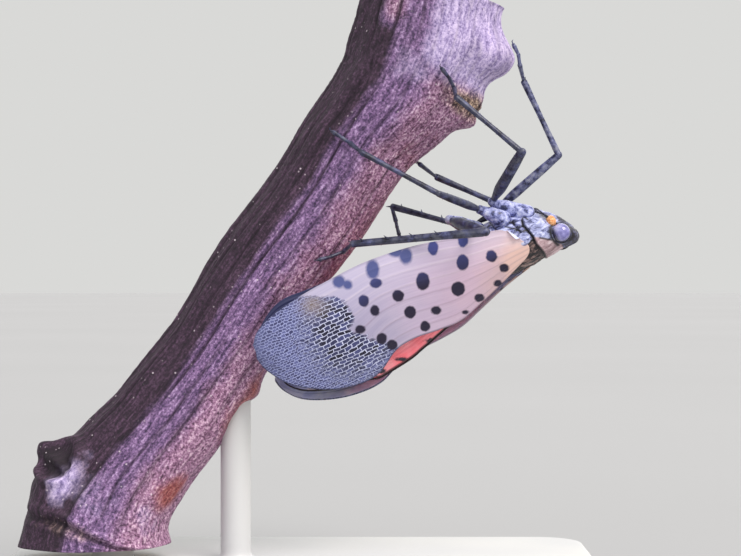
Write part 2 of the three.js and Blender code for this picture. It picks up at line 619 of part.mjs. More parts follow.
const bodyInRow = bodySolid(JOINT_GAP).transform(insect.matrixWorld.elements);
for (const leg of LEGS) {
  const root = toRow(leg.root);
  const hip = toRow(leg.hip);
  const knee = vector(leg.knee);
  const ankle = vector(leg.ankle);
  const toes = leg.toes ? leg.toes.map(vector)
    : leg.foot.map(([x, z]) => barkAt(x, z, leg.near, FOOT_LIFT));
  const hind = leg.name.startsWith('hind');

  const tibiaRadii = [leg.tibia * 1.15, leg.tibia, leg.tibia, leg.tibia * 1.1];
  const tibiaForm = (grow) => segment(knee, ankle, 0.2, 0.2, tibiaRadii, { sides: 7, grow });
  const femurRadii = [0.27, leg.femur * 0.95, leg.femur, leg.femur * 0.85];
  const femurForm = (grow) => segment(hip, knee, 0.42, 0.3, femurRadii, { sides: 8, grow });
  const femur = solidOf(femurForm(0)).subtract(solidOf(tibiaForm(JOINT_GAP)));
  const coxa = solidOf(segment(root, hip, 0, 0.3, [0.55, 0.55, 0.42], { sides: 9 }))
    .subtract(bodyInRow).subtract(solidOf(femurForm(JOINT_GAP)));
  addPart(row, `coxa_${leg.name}`, geometryOf(coxa), MATERIALS.leg);
  addPart(row, `femur_${leg.name}`, geometryOf(femur), MATERIALS.leg);

  let tibia = solidOf(tibiaForm(0));
  if (hind) {
    const axis = ankle.clone().sub(knee).normalize();
    const out = new THREE.Vector3(0, leg.near ? -1 : 1, 0.8);
    out.addScaledVector(axis, -out.dot(axis)).normalize();
    for (let spine = 1; spine <= TIBIAL_SPINES; spine += 1) {
      const base = between(knee, ankle, 0.15 + (0.75 * spine) / TIBIAL_SPINES);
      const tip = base.clone().addScaledVector(out, 0.62).addScaledVector(axis, 0.35);
      tibia = tibia.add(solidOf(limb([base, tip], [0.14, 0.03], { sides: 5 })));
    }
  }
  addPart(row, `tibia_${leg.name}`, geometryOf(tibia), MATERIALS.leg);

  const TARSUS_RADII = [0.24, 0.24, 0.22, 0.12];
  const start = between(ankle, toes[0], 0.28);
  const tarsus = solidOf(limb([start, ...toes], TARSUS_RADII, { sides: 7 }))
    .subtract(grownStem).subtract(solidOf(tibiaForm(JOINT_GAP * 0.75)));
  addPart(row, `tarsus_${leg.name}`, geometryOf(tarsus), MATERIALS.leg);
}

export default row;
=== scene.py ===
"""Spotted lanternfly (Lycorma delicatula), adult, life size, clinging under a slanting length of vine on a
plain display stand. Places are in the CAD frame's axes. Lengths in the tables are in millimetres."""
import math

import bpy
import numpy as np
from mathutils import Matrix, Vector, noise
from mathutils.bvhtree import BVHTree


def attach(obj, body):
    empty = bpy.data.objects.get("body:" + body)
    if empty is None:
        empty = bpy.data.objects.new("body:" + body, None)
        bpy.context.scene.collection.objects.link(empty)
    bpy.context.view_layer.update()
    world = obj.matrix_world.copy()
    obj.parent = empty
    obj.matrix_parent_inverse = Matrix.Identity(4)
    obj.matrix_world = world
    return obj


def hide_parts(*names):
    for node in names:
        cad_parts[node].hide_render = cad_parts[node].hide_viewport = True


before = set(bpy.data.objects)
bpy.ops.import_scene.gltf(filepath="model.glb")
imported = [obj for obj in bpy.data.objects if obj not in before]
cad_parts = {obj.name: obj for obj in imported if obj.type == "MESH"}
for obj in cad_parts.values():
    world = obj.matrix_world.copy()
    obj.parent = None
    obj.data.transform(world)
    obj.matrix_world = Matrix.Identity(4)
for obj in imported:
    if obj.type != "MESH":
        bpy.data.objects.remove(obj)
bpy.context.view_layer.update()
MM = 0.001

# The insect's own axes, as in the part's source: back from the head tip, to its left, toward its back
HEAD_TIP = Vector((20.2, 0, 25.73))
BODY_PITCH = math.radians(25)
BODY_ROLL = math.radians(15)
FORWARD = Vector((math.cos(BODY_PITCH), 0, math.sin(BODY_PITCH)))
BACK_UNROLLED = Vector((math.sin(BODY_PITCH), 0, -math.cos(BODY_PITCH)))
NEAR_SIDE = Vector((0, -1, 0))
FAR_SIDE = Vector((0, 1, 0))
LEFTWARD = NEAR_SIDE * math.cos(BODY_ROLL) - BACK_UNROLLED * math.sin(BODY_ROLL)
DORSAL = BACK_UNROLLED * math.cos(BODY_ROLL) + NEAR_SIDE * math.sin(BODY_ROLL)
SIDES = ((1, "left"), (-1, "right"))


def at(back, left, up):
    return HEAD_TIP - FORWARD * back + LEFTWARD * left + DORSAL * up


# Making shapes
def clear_selection():
    if bpy.context.object and bpy.context.object.mode != "OBJECT":
        bpy.ops.object.mode_set(mode="OBJECT")
    bpy.ops.object.select_all(action="DESELECT")


def pick(*pieces):
    clear_selection()
    for piece in pieces:
        piece.select_set(True)
    bpy.context.view_layer.objects.active = pieces[0]


def named(name):
    piece = bpy.context.object
    piece.name = name
    piece.data.name = name
    return piece


def modify(piece, kind, **settings):
    pick(piece)
    modifier = piece.modifiers.new(kind.title(), kind)
    for key, value in settings.items():
        setattr(modifier, key, value)
    bpy.ops.object.modifier_apply(modifier=modifier.name)


def edit_all(piece, *changes):
    """Runs each change in edit mode with the whole piece selected."""
    pick(piece)
    bpy.ops.object.mode_set(mode="EDIT")
    bpy.ops.mesh.select_all(action="SELECT")
    for change in changes:
        change()
    bpy.ops.object.mode_set(mode="OBJECT")


def close_seams(piece):
    edit_all(piece, lambda: bpy.ops.mesh.remove_doubles(threshold=1e-6),
             lambda: bpy.ops.mesh.normals_make_consistent(inside=False))


def shaped_grid(name, rows, columns, place, closed=True):
    """A grid primitive whose points are moved to place(along, round) in mm. A closed one has its seam and poles
    merged."""
    clear_selection()
    bpy.ops.mesh.primitive_grid_add(x_subdivisions=rows, y_subdivisions=columns, size=1)
    piece = named(name)
    for vertex in piece.data.vertices:
        vertex.co = place(vertex.co.x + 0.5, vertex.co.y + 0.5) * MM
    if closed:
        close_seams(piece)
    bpy.ops.object.shade_smooth()
    return piece


def joined(name, pieces):
    pick(*pieces)
    bpy.ops.object.join()
    return named(name)


def attribute(piece, name, values):
    piece.data.attributes.new(name, "FLOAT", "POINT").data.foreach_set("value", np.asarray(values, "f"))


def smooth(value, low, high):
    share = min(max((value - low) / (high - low), 0.0), 1.0)
    return share * share * (3 - 2 * share)


def smooth_all(values, low, high):
    share = np.clip((values - low) / (high - low), 0, 1)
    return share * share * (3 - 2 * share)


def bell(distance, spread):
    """1 at no distance, falling off with the spread."""
    return math.exp(-(distance / spread) ** 2)


def bell_all(distances, spread):
    return np.exp(-(distances / spread) ** 2)


def eased(values, t):
    """The value a share of the way through a list, going smoothly from each to the next."""
    place = t * (len(values) - 1)
    index = min(int(place), len(values) - 2)
    share = smooth(place - index, 0, 1)
    return values[index] * (1 - share) + values[index + 1] * share


def curve_point(points, t):
    """The centripetal curve through the points, which the part's source also uses."""
    last = len(points) - 1
    index = min(int(t * last), last - 1)
    w = t * last - index
    p1, p2 = points[index], points[index + 1]
    p0 = points[index - 1] if index > 0 else p1 * 2 - p2
    p3 = points[index + 2] if index + 2 <= last else p2 * 2 - p1
    d0, d1, d2 = (max((b - a).length, 1e-6) ** 0.5 for a, b in ((p0, p1), (p1, p2), (p2, p3)))
    t1 = ((p1 - p0) / d0 - (p2 - p0) / (d0 + d1) + (p2 - p1) / d1) * d1
    t2 = ((p2 - p1) / d1 - (p3 - p1) / (d1 + d2) + (p3 - p2) / d2) * d1
    return p1 + t1 * w + (p2 * 3 - p1 * 3 - t1 * 2 - t2) * w ** 2 + (p1 * 2 - p2 * 2 + t1 + t2) * w ** 3


def rounded_end(along, cap):
    """How far round an end's cap a row lies, up to a quarter turn, and below zero at the piece's start."""
    return math.pi / 2 * max(1 - min(along, 1 - along) / cap, 0) * (1 if along > 0.5 else -1)


def tube(name, points, radii, sides=14, rows=24, flat=1.0, side_axis=FAR_SIDE, ridged=0.0):
    """A limb through points with a radius at each, rounded at both ends. flat scales it along side_axis."""
    cap = 0.1

    def place(along, round_):
        t = min(max((along - cap) / (1 - 2 * cap), 0), 1)
        centre = curve_point(points, t)
        axis = (curve_point(points, min(t + 0.01, 1)) - curve_point(points, max(t - 0.01, 0))).normalized()
        wide = (side_axis - axis * side_axis.dot(axis)).normalized()
        thin = axis.cross(wide)
        angle = 2 * math.pi * round_
        radius = eased(radii, t) * (1 + ridged * math.cos(4 * angle))
        bend = rounded_end(along, cap)
        offset = wide * math.cos(angle) * flat + thin * math.sin(angle)
        return centre + axis * radius * 0.8 * math.sin(bend) + offset * radius * math.cos(bend)

    return shaped_grid(name, rows, sides, place)


def ball(name, centre, radii, segments=24, rings=16):
    """An ellipsoid with its radii along the insect's own axes."""
    clear_selection()
    bpy.ops.mesh.primitive_uv_sphere_add(segments=segments, ring_count=rings, radius=1)
    piece = named(name)
    for vertex in piece.data.vertices:
        point = sum((axis * (radius * share)
                     for axis, radius, share in zip((FORWARD, LEFTWARD, DORSAL), radii, vertex.co)), Vector())
        vertex.co = (centre + point) * MM
    close_seams(piece)
    bpy.ops.object.shade_smooth()
    return piece


def thorns(name, ends, sides):
    """Small cones from each base to each tip, given as (base, tip, radius), joined into one piece."""
    clear_selection()
    bpy.ops.mesh.primitive_cone_add(vertices=sides, radius1=1, radius2=0.12, depth=1, end_fill_type="TRIFAN")
    pattern = named(name)
    shape = [vertex.co.copy() for vertex in pattern.data.vertices]
    copies = [pattern]
    for _ in ends[1:]:
        copy = bpy.data.objects.new(name, pattern.data.copy())
        bpy.context.collection.objects.link(copy)
        copies.append(copy)
    for copy, (base, tip, radius) in zip(copies, ends):
        axis = tip - base
        turn = axis.to_track_quat("Z", "Y").to_matrix()
        for vertex, corner in zip(copy.data.vertices, shape):
            local = Vector((corner.x * radius, corner.y * radius, (corner.z + 0.5) * axis.length))
            vertex.co = (base + turn @ local) * MM
    piece = joined(name, copies)
    bpy.ops.object.shade_smooth()
    return piece


# Making finishes
def hex_colour(code):
    channels = [int(code[i:i + 2], 16) / 255 for i in (1, 3, 5)]
    return [c / 12.92 if c <= 0.04045 else ((c + 0.055) / 1.055) ** 2.4 for c in channels] + [1.0]


def finish(name, **fixed):
    """A new material whose shader has the fixed values, and the function that adds its nodes."""
    material = bpy.data.materials.new(name)
    material.use_nodes = True
    tree = material.node_tree
    for key, value in fixed.items():
        tree.nodes["Principled BSDF"].inputs[key.replace("_", " ")].default_value = value

    def add(kind, *values, out=None, stops=(), **settings):
        """Adds a shader node and returns its outgoing socket. The values go to its first sockets in turn. A
        key in small letters is a property of the node, and any other is a socket's value or link."""
        node = tree.nodes.new("ShaderNode" + kind)
        if kind == "Mix":
            settings = {"data_type": "RGBA", **settings}
        for key, value in settings.items():
            if key[0].islower():
                setattr(node, key, value)
        incoming = list(zip(node.inputs, values))
        incoming += [(next(s for s in node.inputs if s.enabled and s.name == key.replace("_", " ")), value)
                     for key, value in settings.items() if key[0].isupper()]
        for socket, value in incoming:
            if isinstance(value, bpy.types.NodeSocket):
                tree.links.new(value, socket)
            else:
                socket.default_value = hex_colour(value) if isinstance(value, str) else value
        if stops:
            elements = node.color_ramp.elements
            while len(elements) < len(stops):
                elements.new(0.5)
            for element, (position, colour) in zip(elements, stops):
                element.position = position
                element.color = hex_colour(colour)
        return node.outputs[out] if out else next(s for s in node.outputs if s.enabled)

    return material, add


def surfaced(material, colour, roughness=None, normal=None):
    """Links the colour, roughness and normal to the material's shader, and returns the material."""
    tree = material.node_tree
    for key, source in (("Base Color", colour), ("Roughness", roughness), ("Normal", normal)):
        if source is not None:
            tree.links.new(source, tree.nodes["Principled BSDF"].inputs[key])
    return material


def dress(piece, material, slot, *nodes):
    piece.data.materials.clear()
    piece.data.materials.append(material)
    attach(piece, "root")
    if nodes:
        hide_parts(*nodes)


def per_mm(size):
    """The scale on Object coordinates, in metres, of a pattern whose features are this many millimetres."""
    return 1 / (size * MM)


BARK_MARKS = ("groove", "ruddy", "shaded", "bloom", "rust", "scar", "wood", "ring_radius")


def weathered_bark():
    # Weathered bark of a woody vine: dry and dull, finely granular, purple-brown with a ruddy side, painted
    # shade on the side away from the light, and a grey-lilac bloom about the node
    material, add = finish("weathered vine bark", IOR=1.45)
    place = add("TexCoord", out="Object")
    zones = {name: add("Attribute", attribute_name=name, out="Fac") for name in BARK_MARKS}
    # Strands about 1.3 mm long and 0.25 mm wide, and grains of 0.2 mm
    strands = add("TexNoise", add("Mapping", add("UVMap", uv_map="UVMap"), Scale=(38, 105, 1)), Scale=1.0,
                  Detail=6.0, Roughness=0.68)
    broad = add("TexNoise", place, Scale=per_mm(2.4), Detail=4.0, Roughness=0.65)
    grit = add("TexNoise", place, Scale=per_mm(0.2), Detail=3.0, Roughness=0.75)
    mottle = add("Mix", data_type="FLOAT", Factor=add("MapRange", zones["ruddy"], To_Min=0.5, To_Max=0.7),
                 A=strands, B=grit)
    colour = add("ValToRGB", mottle, stops=[
        (0.38, "#2E213C"), (0.46, "#604870"), (0.54, "#92709E"), (0.64, "#D2B6E0")])
    tones = {
        "ruddy": [(0.39, "#472A40"), (0.46, "#875C7C"), (0.54, "#BA8EAE"), (0.62, "#ECD0E0")],
        # Painted shade on the side of the stem away from the light
        "shaded": [(0.38, "#1A101C"), (0.5, "#372336"), (0.6, "#5E445C")],
        "bloom": [(0.38, "#706092"), (0.47, "#AE9CCC"), (0.58, "#E4D2F4")],
        "rust": [(0.38, "#642A30"), (0.5, "#9C4E50"), (0.62, "#D09088")],
        "scar": [(0.4, "#241B1E"), (0.5, "#7C645A"), (0.58, "#D8BEA4")],
    }
    for zone, stops in tones.items():
        share = add("MapRange", add("Math", zones[zone], broad, operation="ADD"),
                    From_Min=0.72, From_Max=1.25)
        colour = add("Mix", Factor=share, A=colour, B=add("ValToRGB", mottle, stops=stops))
    colour = add("Mix", Factor=add("MapRange", zones["groove"], To_Max=0.85), A=colour, B="#1D121D")
    # Pale specks about 0.1 mm across, in clusters
    specks = add("MapRange", add("TexVoronoi", place, Scale=per_mm(0.62), out="Distance"),
                 From_Min=0.13, From_Max=0.07, To_Max=0.75)
    clusters = add("MapRange", broad, From_Min=0.46, From_Max=0.56)
    colour = add("Mix", Factor=add("Math", specks, clusters, operation="MULTIPLY"), A=colour, B="#E4D6DE")
    # Sawn ends: annual rings 0.57 mm apart
    rings = add("Math", add("Math", zones["ring_radius"], 11.0, operation="MULTIPLY"), operation="SINE")
    ring_colour = add("ValToRGB", add("MapRange", rings, From_Min=-1.0),
                      stops=[(0.0, "#B08D62"), (0.8, "#CDB287"), (1.0, "#8C6A45")])
    colour = add("Mix", Factor=zones["wood"], A=colour, B=ring_colour)
    coarse = add("Bump", Strength=1.0, Distance=0.14 * MM, Height=strands)
    return surfaced(material, colour, add("MapRange", grit, To_Min=0.5, To_Max=0.85),
                    add("Bump", Strength=0.9, Distance=0.06 * MM, Height=grit, Normal=coarse))


def moulded_plastic():
    # ABS sheet and rod with a fine spark-eroded mould texture: pale grey, satin
    material, add = finish("satin moulded ABS", IOR=1.53)
    place = add("TexCoord", out="Object")
    grain = add("TexNoise", place, Scale=per_mm(0.35), Detail=3.0)
    tone = add("TexNoise", place, Scale=per_mm(14), Detail=2.0)
    return surfaced(material, add("ValToRGB", tone, stops=[(0.3, "#C9CACB"), (0.7, "#D6D6D3")]),
                    add("MapRange", grain, To_Min=0.36, To_Max=0.5),
                    add("Bump", Strength=0.25, Distance=0.02 * MM, Height=grain))


def leathery_wing():
    # Tegmen: a leathery lilac-grey forewing with a dull bloom, violet-black spots that the bloom turns blue
    # toward the front margin, and dark brick-like cells between pale veins toward its tip
    material, add = finish("leathery forewing membrane", IOR=1.45, Sheen_Weight=0.05)
    place = add("TexCoord", out="Object")
    across = add("UVMap", uv_map="UVMap")
    marks = {name: add("Attribute", attribute_name=name, out="Fac") for name in (
        "spot", "soft_spot", "net", "edge", "vein", "core", "patch", "net_along", "net_across")}
    share_u, share_v = (add("SeparateXYZ", across, out=axis) for axis in "XY")
    ragged = add("TexNoise", place, Scale=per_mm(0.35), Detail=3.0, Roughness=0.6)
    cloudy = add("TexNoise", place, Scale=per_mm(1.8), Detail=4.0, Roughness=0.6)
    rag = add("MapRange", ragged, To_Min=-0.08, To_Max=0.08)
    drift = add("Math", cloudy, 0.14, -0.07, operation="MULTIPLY_ADD")
    colour = add("ValToRGB", add("Math", share_u, drift, operation="ADD"), stops=[
        (0.0, "#F8D0BE"), (0.05, "#F4CCC0"), (0.1, "#D6B6BA"), (0.2, "#CEB2C6"), (0.34, "#C6B2CA"),
        (0.46, "#B8ACC6"), (0.6, "#A49EBC")])
    # Paler toward the front margin, with pale and dull streaks along the wing
    streaks = add("TexNoise", add("Mapping", across, Scale=(5, 46, 1)), Scale=1.0, Detail=3.0, Roughness=0.6)
    for source, low, high, most, tint in ((share_v, 0.55, 0.95, 0.55, "#CFC8E2"),
                                          (streaks, 0.45, 0.75, 0.22, "#E6D8DE"),
                                          (streaks, 0.46, 0.25, 0.22, "#9C88A2")):
        share = add("MapRange", source, From_Min=low, From_Max=high, To_Max=most)
        colour = add("Mix", Factor=share, A=colour, B=tint)
    vein_colour = add("Mix", Factor=add("MapRange", share_v, From_Min=0.5, From_Max=0.75),
                      A="#8F7688", B="#E9DDE4")
    colour = add("Mix", Factor=add("Math", marks["vein"], 0.26, operation="MULTIPLY"),
                 A=colour, B=vein_colour)
    soft_share = add("MapRange", add("Math", marks["soft_spot"], rag, operation="ADD"),
                     From_Min=0.08, From_Max=-0.12, To_Max=0.95)
    colour = add("Mix", Factor=soft_share, A=colour, B="#414D88")
    # Cells 0.52 mm long in rows 0.27 mm apart, between pale veins, finer and duller toward the tip
    cells = add("CombineXYZ", marks["net_along"], marks["net_across"])
    for size, detail, rough, reach in ((1.1, 3.0, 0.55, 0.5), (0.42, 1.0, 0.5, 0.15)):
        wobble = add("TexNoise", place, Scale=per_mm(size), Detail=detail, Roughness=rough, out="Color")
        wobble = add("VectorMath", wobble, (0.5, 0.5, 0.5), operation="SUBTRACT")
        wobble = add("VectorMath", wobble, operation="SCALE", Scale=reach)
        cells = add("VectorMath", cells, wobble, operation="ADD")
    nets = [add("TexBrick", cells, Scale=1.0, Mortar_Size=0.034, Mortar_Smooth=0.5, Bias=-0.15,
                Brick_Width=width, Row_Height=height, Color1=dark, Color2=mid, Mortar=pale, out="Color")
            for width, height, dark, mid, pale in ((0.52, 0.27, "#16142E", "#50558A", "#D4D8F4"),
                                                   (0.3, 0.18, "#3C3E6A", "#6A70A6", "#A0A6D4"))]
    core = add("Math", marks["core"], add("Math", ragged, 0.5, -0.25, operation="MULTIPLY_ADD"),
               operation="ADD")
    net = add("Mix", Factor=add("MapRange", core, From_Min=0.25, From_Max=0.7), A=nets[1], B=nets[0])
    net = add("Mix", Factor=add("Math", marks["patch"], 0.55, operation="MULTIPLY"), A=net, B="#A3907F")
    net = add("Mix", Factor=add("MapRange", share_u, From_Min=0.8, From_Max=0.97, To_Max=0.6),
              A=net, B="#585C82")
    uneven = add("MapRange", cloudy, From_Min=0.3, From_Max=0.7, To_Min=-0.5, To_Max=0.5)
    net_share = add("MapRange", add("Math", marks["net"], uneven, operation="ADD"),
                    From_Min=-0.12, From_Max=0.14)
    colour = add("Mix", Factor=net_share, A=colour, B=net)
    spot_share = add("MapRange", add("Math", marks["spot"], rag, operation="ADD"),
                     From_Min=0.06, From_Max=-0.04)
    spot_colour = add("Mix", Factor=add("MapRange", share_v, From_Min=0.55, From_Max=0.98),
                      A="#1B1230", B="#434B8E")
    colour = add("Mix", Factor=spot_share, A=colour, B=spot_colour)
    # A dark rim, stronger toward the tip and fainter toward the front margin
    rim = add("MapRange", marks["edge"], From_Min=0.16, From_Max=0.05)
    for source, low, high, first, last in ((share_u, 0.1, 0.6, 0.45, 0.7), (share_v, 0.5, 0.8, 1.0, 0.35)):
        fade = add("MapRange", source, From_Min=low, From_Max=high, To_Min=first, To_Max=last)
        rim = add("Math", rim, fade, operation="MULTIPLY")
    colour = add("Mix", Factor=rim, A=colour, B="#1D1B38")
    veins = add("Math", nets[1].node.outputs["Fac"], net_share, operation="MULTIPLY")
    relief = add("Bump", Strength=0.6, Distance=0.03 * MM, Height=veins)
    return surfaced(material, colour, add("MapRange", ragged, To_Min=0.4, To_Max=0.62),
                    add("Bump", Strength=0.35, Distance=0.02 * MM, Height=streaks, Normal=relief))


def wing_underside():
    # The inner face of the forewing: smooth and waxy, blue-lilac, with its veins faintly darker
    material, add = finish("waxy forewing underside", IOR=1.5, Sheen_Weight=0.1)
    cloudy = add("TexNoise", add("TexCoord", out="Object"), Scale=per_mm(1.2), Detail=4.0, Roughness=0.6)
    # Painted light: the tone is made paler than the face's own blue-lilac, to stand in for light where the
    # wings shade it
    tone = add("ValToRGB", cloudy, stops=[(0.35, "#C0C4E8"), (0.5, "#D6DAF8"), (0.65, "#ECEEFF")])
    vein = add("Attribute", attribute_name="vein", out="Fac")
    colour = add("Mix", Factor=add("Math", vein, 0.5, operation="MULTIPLY"), A=tone, B="#585C8E")
    return surfaced(material, colour, add("MapRange", cloudy, To_Min=0.4, To_Max=0.6),
                    add("Bump", Strength=0.3, Distance=0.02 * MM, Height=cloudy))


def red_wing():
    # Hindwing membrane: scarlet with black spots at its base, a white band, and a blue-black outer part
    material, add = finish("scarlet hindwing membrane", IOR=1.5)
    place = add("TexCoord", out="Object")
    across = add("UVMap", uv_map="UVMap")
    spot, band, rim = (add("Attribute", attribute_name=name, out="Fac") for name in ("spot", "band", "rim"))
    ragged = add("TexNoise", place, Scale=per_mm(0.4), Detail=3.0, Roughness=0.6)
    rag = add("MapRange", ragged, To_Min=-0.14, To_Max=0.14)
    cloudy = add("TexNoise", place, Scale=per_mm(1.6), Detail=3.0)
    colour = add("ValToRGB", cloudy, stops=[(0.3, "#FF6874"), (0.55, "#FF929C"), (0.75, "#FFB6B8")])
    spot_share = add("MapRange", add("Math", spot, rag, operation="ADD"), From_Min=0.06, From_Max=-0.04)
    colour = add("Mix", Factor=spot_share, A=colour, B="#241B2C")
    out_along = add("Math", band, rag, operation="ADD")
    # The outer part is painted pale blue-grey over its own blue-black, as painted light
    outer = add("ValToRGB", out_along, stops=[
        (0.0, "#1F1B30"), (0.35, "#1F1B30"), (0.42, "#D8CFD8"), (0.5, "#9DA0C4"), (0.7, "#6C72A0"),
        (1.0, "#8086B2")])
    # Painted shade: the outer part darkens toward the front margin
    front_shade_share = add("MapRange", add("SeparateXYZ", across, out="Y"), From_Min=0.75, From_Max=0.9)
    outer = add("Mix", Factor=front_shade_share, A=outer, B="#2A2E56")
    colour = add("Mix", Factor=add("MapRange", out_along, From_Min=0.05, From_Max=0.12), A=colour, B=outer)
    colour = add("Mix", Factor=rim, A=colour, B="#1A121C")
    folds = add("TexWave", across, bands_direction="Y", Scale=9.0, Distortion=0.6, out="Fac")
    return surfaced(material, colour, add("MapRange", ragged, To_Min=0.35, To_Max=0.55),
                    add("Bump", Strength=0.5, Distance=0.05 * MM, Height=folds))


def waxy_cuticle():
    # Insect cuticle of the head and body under a blue-grey powder of wax, which is worn off the black seams
    material, add = finish("waxy body cuticle", IOR=1.55, Sheen_Weight=0.15, Sheen_Roughness=0.4)
    place = add("TexCoord", out="Object")
    # Powder in flecks 0.34 mm wide and about twice as long, along the body
    lengthwise = add("Mapping", place, vector_type="TEXTURE", Rotation=(0, -BODY_PITCH, 0), Scale=(2.2, 1, 1))
    powder = add("TexNoise", lengthwise, Scale=per_mm(0.34), Detail=5.0, Roughness=0.68, Distortion=0.5)
    colour = add("ValToRGB", powder, stops=[
        (0.39, "#15162C"), (0.45, "#545A8E"), (0.52, "#969CD0"), (0.6, "#C6CCF2"), (0.7, "#E8ECFE")])
    tones = {
        "pronotum": [(0.36, "#86666C"), (0.5, "#C4A4AA"), (0.64, "#E6D0D4")],
        "lobe": [(0.38, "#464A70"), (0.46, "#888EBC"), (0.56, "#BCC2E8"), (0.66, "#E8EAFC")],
        "mesonotum": [(0.42, "#0F0B12"), (0.5, "#35262A"), (0.58, "#9A7D76"), (0.68, "#CDB6AE")],
        "abdomen": [(0.3, "#C2912A"), (0.7, "#E6C544")],
        "head": [(0.38, "#14121C"), (0.5, "#343248"), (0.62, "#6E7094"), (0.75, "#B4B6D2")],
    }
    for zone, stops in tones.items():
        colour = add("Mix", Factor=add("Attribute", attribute_name=zone, out="Fac"), A=colour,
                     B=add("ValToRGB", powder, stops=stops))
    colour = add("Mix", Factor=add("Attribute", attribute_name="seam", out="Fac"), A=colour, B="#0D0A12")
    pits = add("TexVoronoi", place, Scale=per_mm(0.1), out="Distance")
    relief = add("Bump", Strength=0.4, Distance=0.03 * MM, Height=pits)
    return surfaced(material, colour, add("MapRange", powder, To_Min=0.38, To_Max=0.7),
                    add("Bump", Strength=0.6, Distance=0.06 * MM, Height=powder, Normal=relief))


def black_cuticle():
    # Hard black cuticle of the legs and beak: satin, with pale blue-grey patches painted in as highlights,
    # and the body's wax powder where it is dusted, laid on thicker on the far front leg as painted light
    material, add = finish("black leg cuticle", IOR=1.5, Coat_Weight=0.1, Coat_Roughness=0.3)
    place = add("TexCoord", out="Object")
    bloom = add("TexNoise", place, Scale=per_mm(0.7), Detail=4.0, Roughness=0.6)
    grain = add("TexNoise", place, Scale=per_mm(0.08), Detail=2.0)
    powder = add("TexNoise", place, Scale=per_mm(0.45), Detail=5.0, Roughness=0.62)
    # Painted highlights: the pale blue-grey end of this ramp, in patches over the black
    black = add("ValToRGB", bloom, stops=[
        (0.36, "#0C0C15"), (0.52, "#1A1A2E"), (0.64, "#34385C"), (0.78, "#6E739C")])
    dust_and_light = add("ValToRGB", powder, stops=[
        (0.38, "#30345A"), (0.45, "#6E74AC"), (0.53, "#A4AADC"), (0.65, "#DCE0FA")])
    colour = add("Mix", Factor=add("Attribute", attribute_name="dust_and_light_share", out="Fac"), A=black, B=dust_and_light)
    return surfaced(material, colour, add("MapRange", bloom, To_Min=0.28, To_Max=0.5),
                    add("Bump", Strength=0.4, Distance=0.02 * MM, Height=grain))


def faceted_eye():
    # Compound eye: a glossy dome of facets 0.035 mm across over violet-grey pigment
    material, add = finish("faceted compound eye", IOR=1.55, Coat_Weight=0.7, Coat_Roughness=0.16)
    place = add("TexCoord", out="Object")
    facets = add("TexVoronoi", place, Scale=per_mm(0.035), Randomness=0.35, out="Distance")
    pigment = add("TexNoise", place, Scale=per_mm(0.6), Detail=2.0)
    colour = add("ValToRGB", pigment, stops=[(0.3, "#565090"), (0.5, "#8C88C4"), (0.7, "#C0BEE6")])
    # Painted shade toward the eye's back and where it meets the head
    colour = add("Mix", Factor=add("Attribute", attribute_name="shaded", out="Fac"), A=colour, B="#120E24")
    return surfaced(material, colour, add("MapRange", pigment, To_Min=0.16, To_Max=0.3),
                    add("Bump", Strength=0.25, Distance=0.008 * MM, Filter_Width=1.0, Height=facets))


def pitted_orange():
    # Antennal bulb: orange cuticle packed with raised, pitted sense organs
    material, add = finish("orange pitted cuticle", IOR=1.5)
    organs = add("TexVoronoi", add("TexCoord", out="Object"), Scale=per_mm(0.12), out="Distance")
    colour = add("ValToRGB", organs, stops=[(0.0, "#FFD6A4"), (0.4, "#F7B87C"), (0.8, "#D4844E")])
    return surfaced(material, colour, add("MapRange", organs, To_Min=0.4, To_Max=0.6),
                    add("Bump", invert=True, Strength=0.7, Distance=0.03 * MM, Height=organs))


def painted_floor():
    # Matt painted board, light grey
    material, add = finish("matt white board", IOR=1.45, Roughness=0.9)
    tone = add("TexNoise", add("TexCoord", out="Object"), Scale=6.0, Detail=2.0)
    return surfaced(material, add("ValToRGB", tone, stops=[(0.3, "#AEAFB0"), (0.7, "#B1B2B3")]))


BARK = weathered_bark()
PLASTIC = moulded_plastic()
FOREWING = leathery_wing()
UNDERSIDE = wing_underside()
HINDWING = red_wing()
CUTICLE = waxy_cuticle()
LEG = black_cuticle()
EYE = faceted_eye()
BULB = pitted_orange()


# Camera, light and floor
CAMERA_PLACE = (5.087, -150, 22.771)
LENS = 101.0
PICTURE_WIDTH = 36.0
# Name, place that it shines from, width in degrees, strength and colour
SUNS = [
    ("soft key", (150, -170, 260), 35, 2.5, "#FFF8F4"), ("soft fill", (-20, -260, 20), 80, 0.75, "#EEF0FF"),
    ("soft back", (120, 240, 160), 60, 0.7, "#FFFFFF"),
]
ROOM_COLOUR = "#E8E8E6"
ROOM_STRENGTH = 0.86


def set_camera():
    bpy.ops.object.camera_add(location=[p * MM for p in CAMERA_PLACE], rotation=(math.pi / 2, 0, 0))
    camera = bpy.context.object
    camera.data.lens = LENS
    camera.data.sensor_width = PICTURE_WIDTH
    camera.data.clip_start = 0.005
    camera.data.clip_end = 50.0
    bpy.context.scene.camera = camera


def soft_sun(name, place, spread, strength, colour):
    bpy.ops.object.light_add(type="SUN", location=[p * MM for p in place])
    light = bpy.context.object
    light.name = name
    light.data.angle = math.radians(spread)
    light.data.energy = strength
    light.data.color = hex_colour(colour)[:3]
    light.rotation_mode = "QUATERNION"
    light.rotation_quaternion = (-Vector(place)).to_track_quat("-Z", "Y")


def set_room():
    clear_selection()
    bpy.ops.mesh.primitive_circle_add(vertices=64, radius=3.0, fill_type="NGON", location=(0, 0, 0))
    floor = named("floor")
    floor.data.materials.append(painted_floor())
    for sun in SUNS:
        soft_sun(*sun)
    world = bpy.data.worlds.new("studio")
    bpy.context.scene.world = world
    world.use_nodes = True
    background = world.node_tree.nodes["Background"]
    background.inputs["Color"].default_value = hex_colour(ROOM_COLOUR)
    background.inputs["Strength"].default_value = ROOM_STRENGTH
    bpy.context.scene.view_settings.view_transform = "Standard"


set_camera()
set_room()

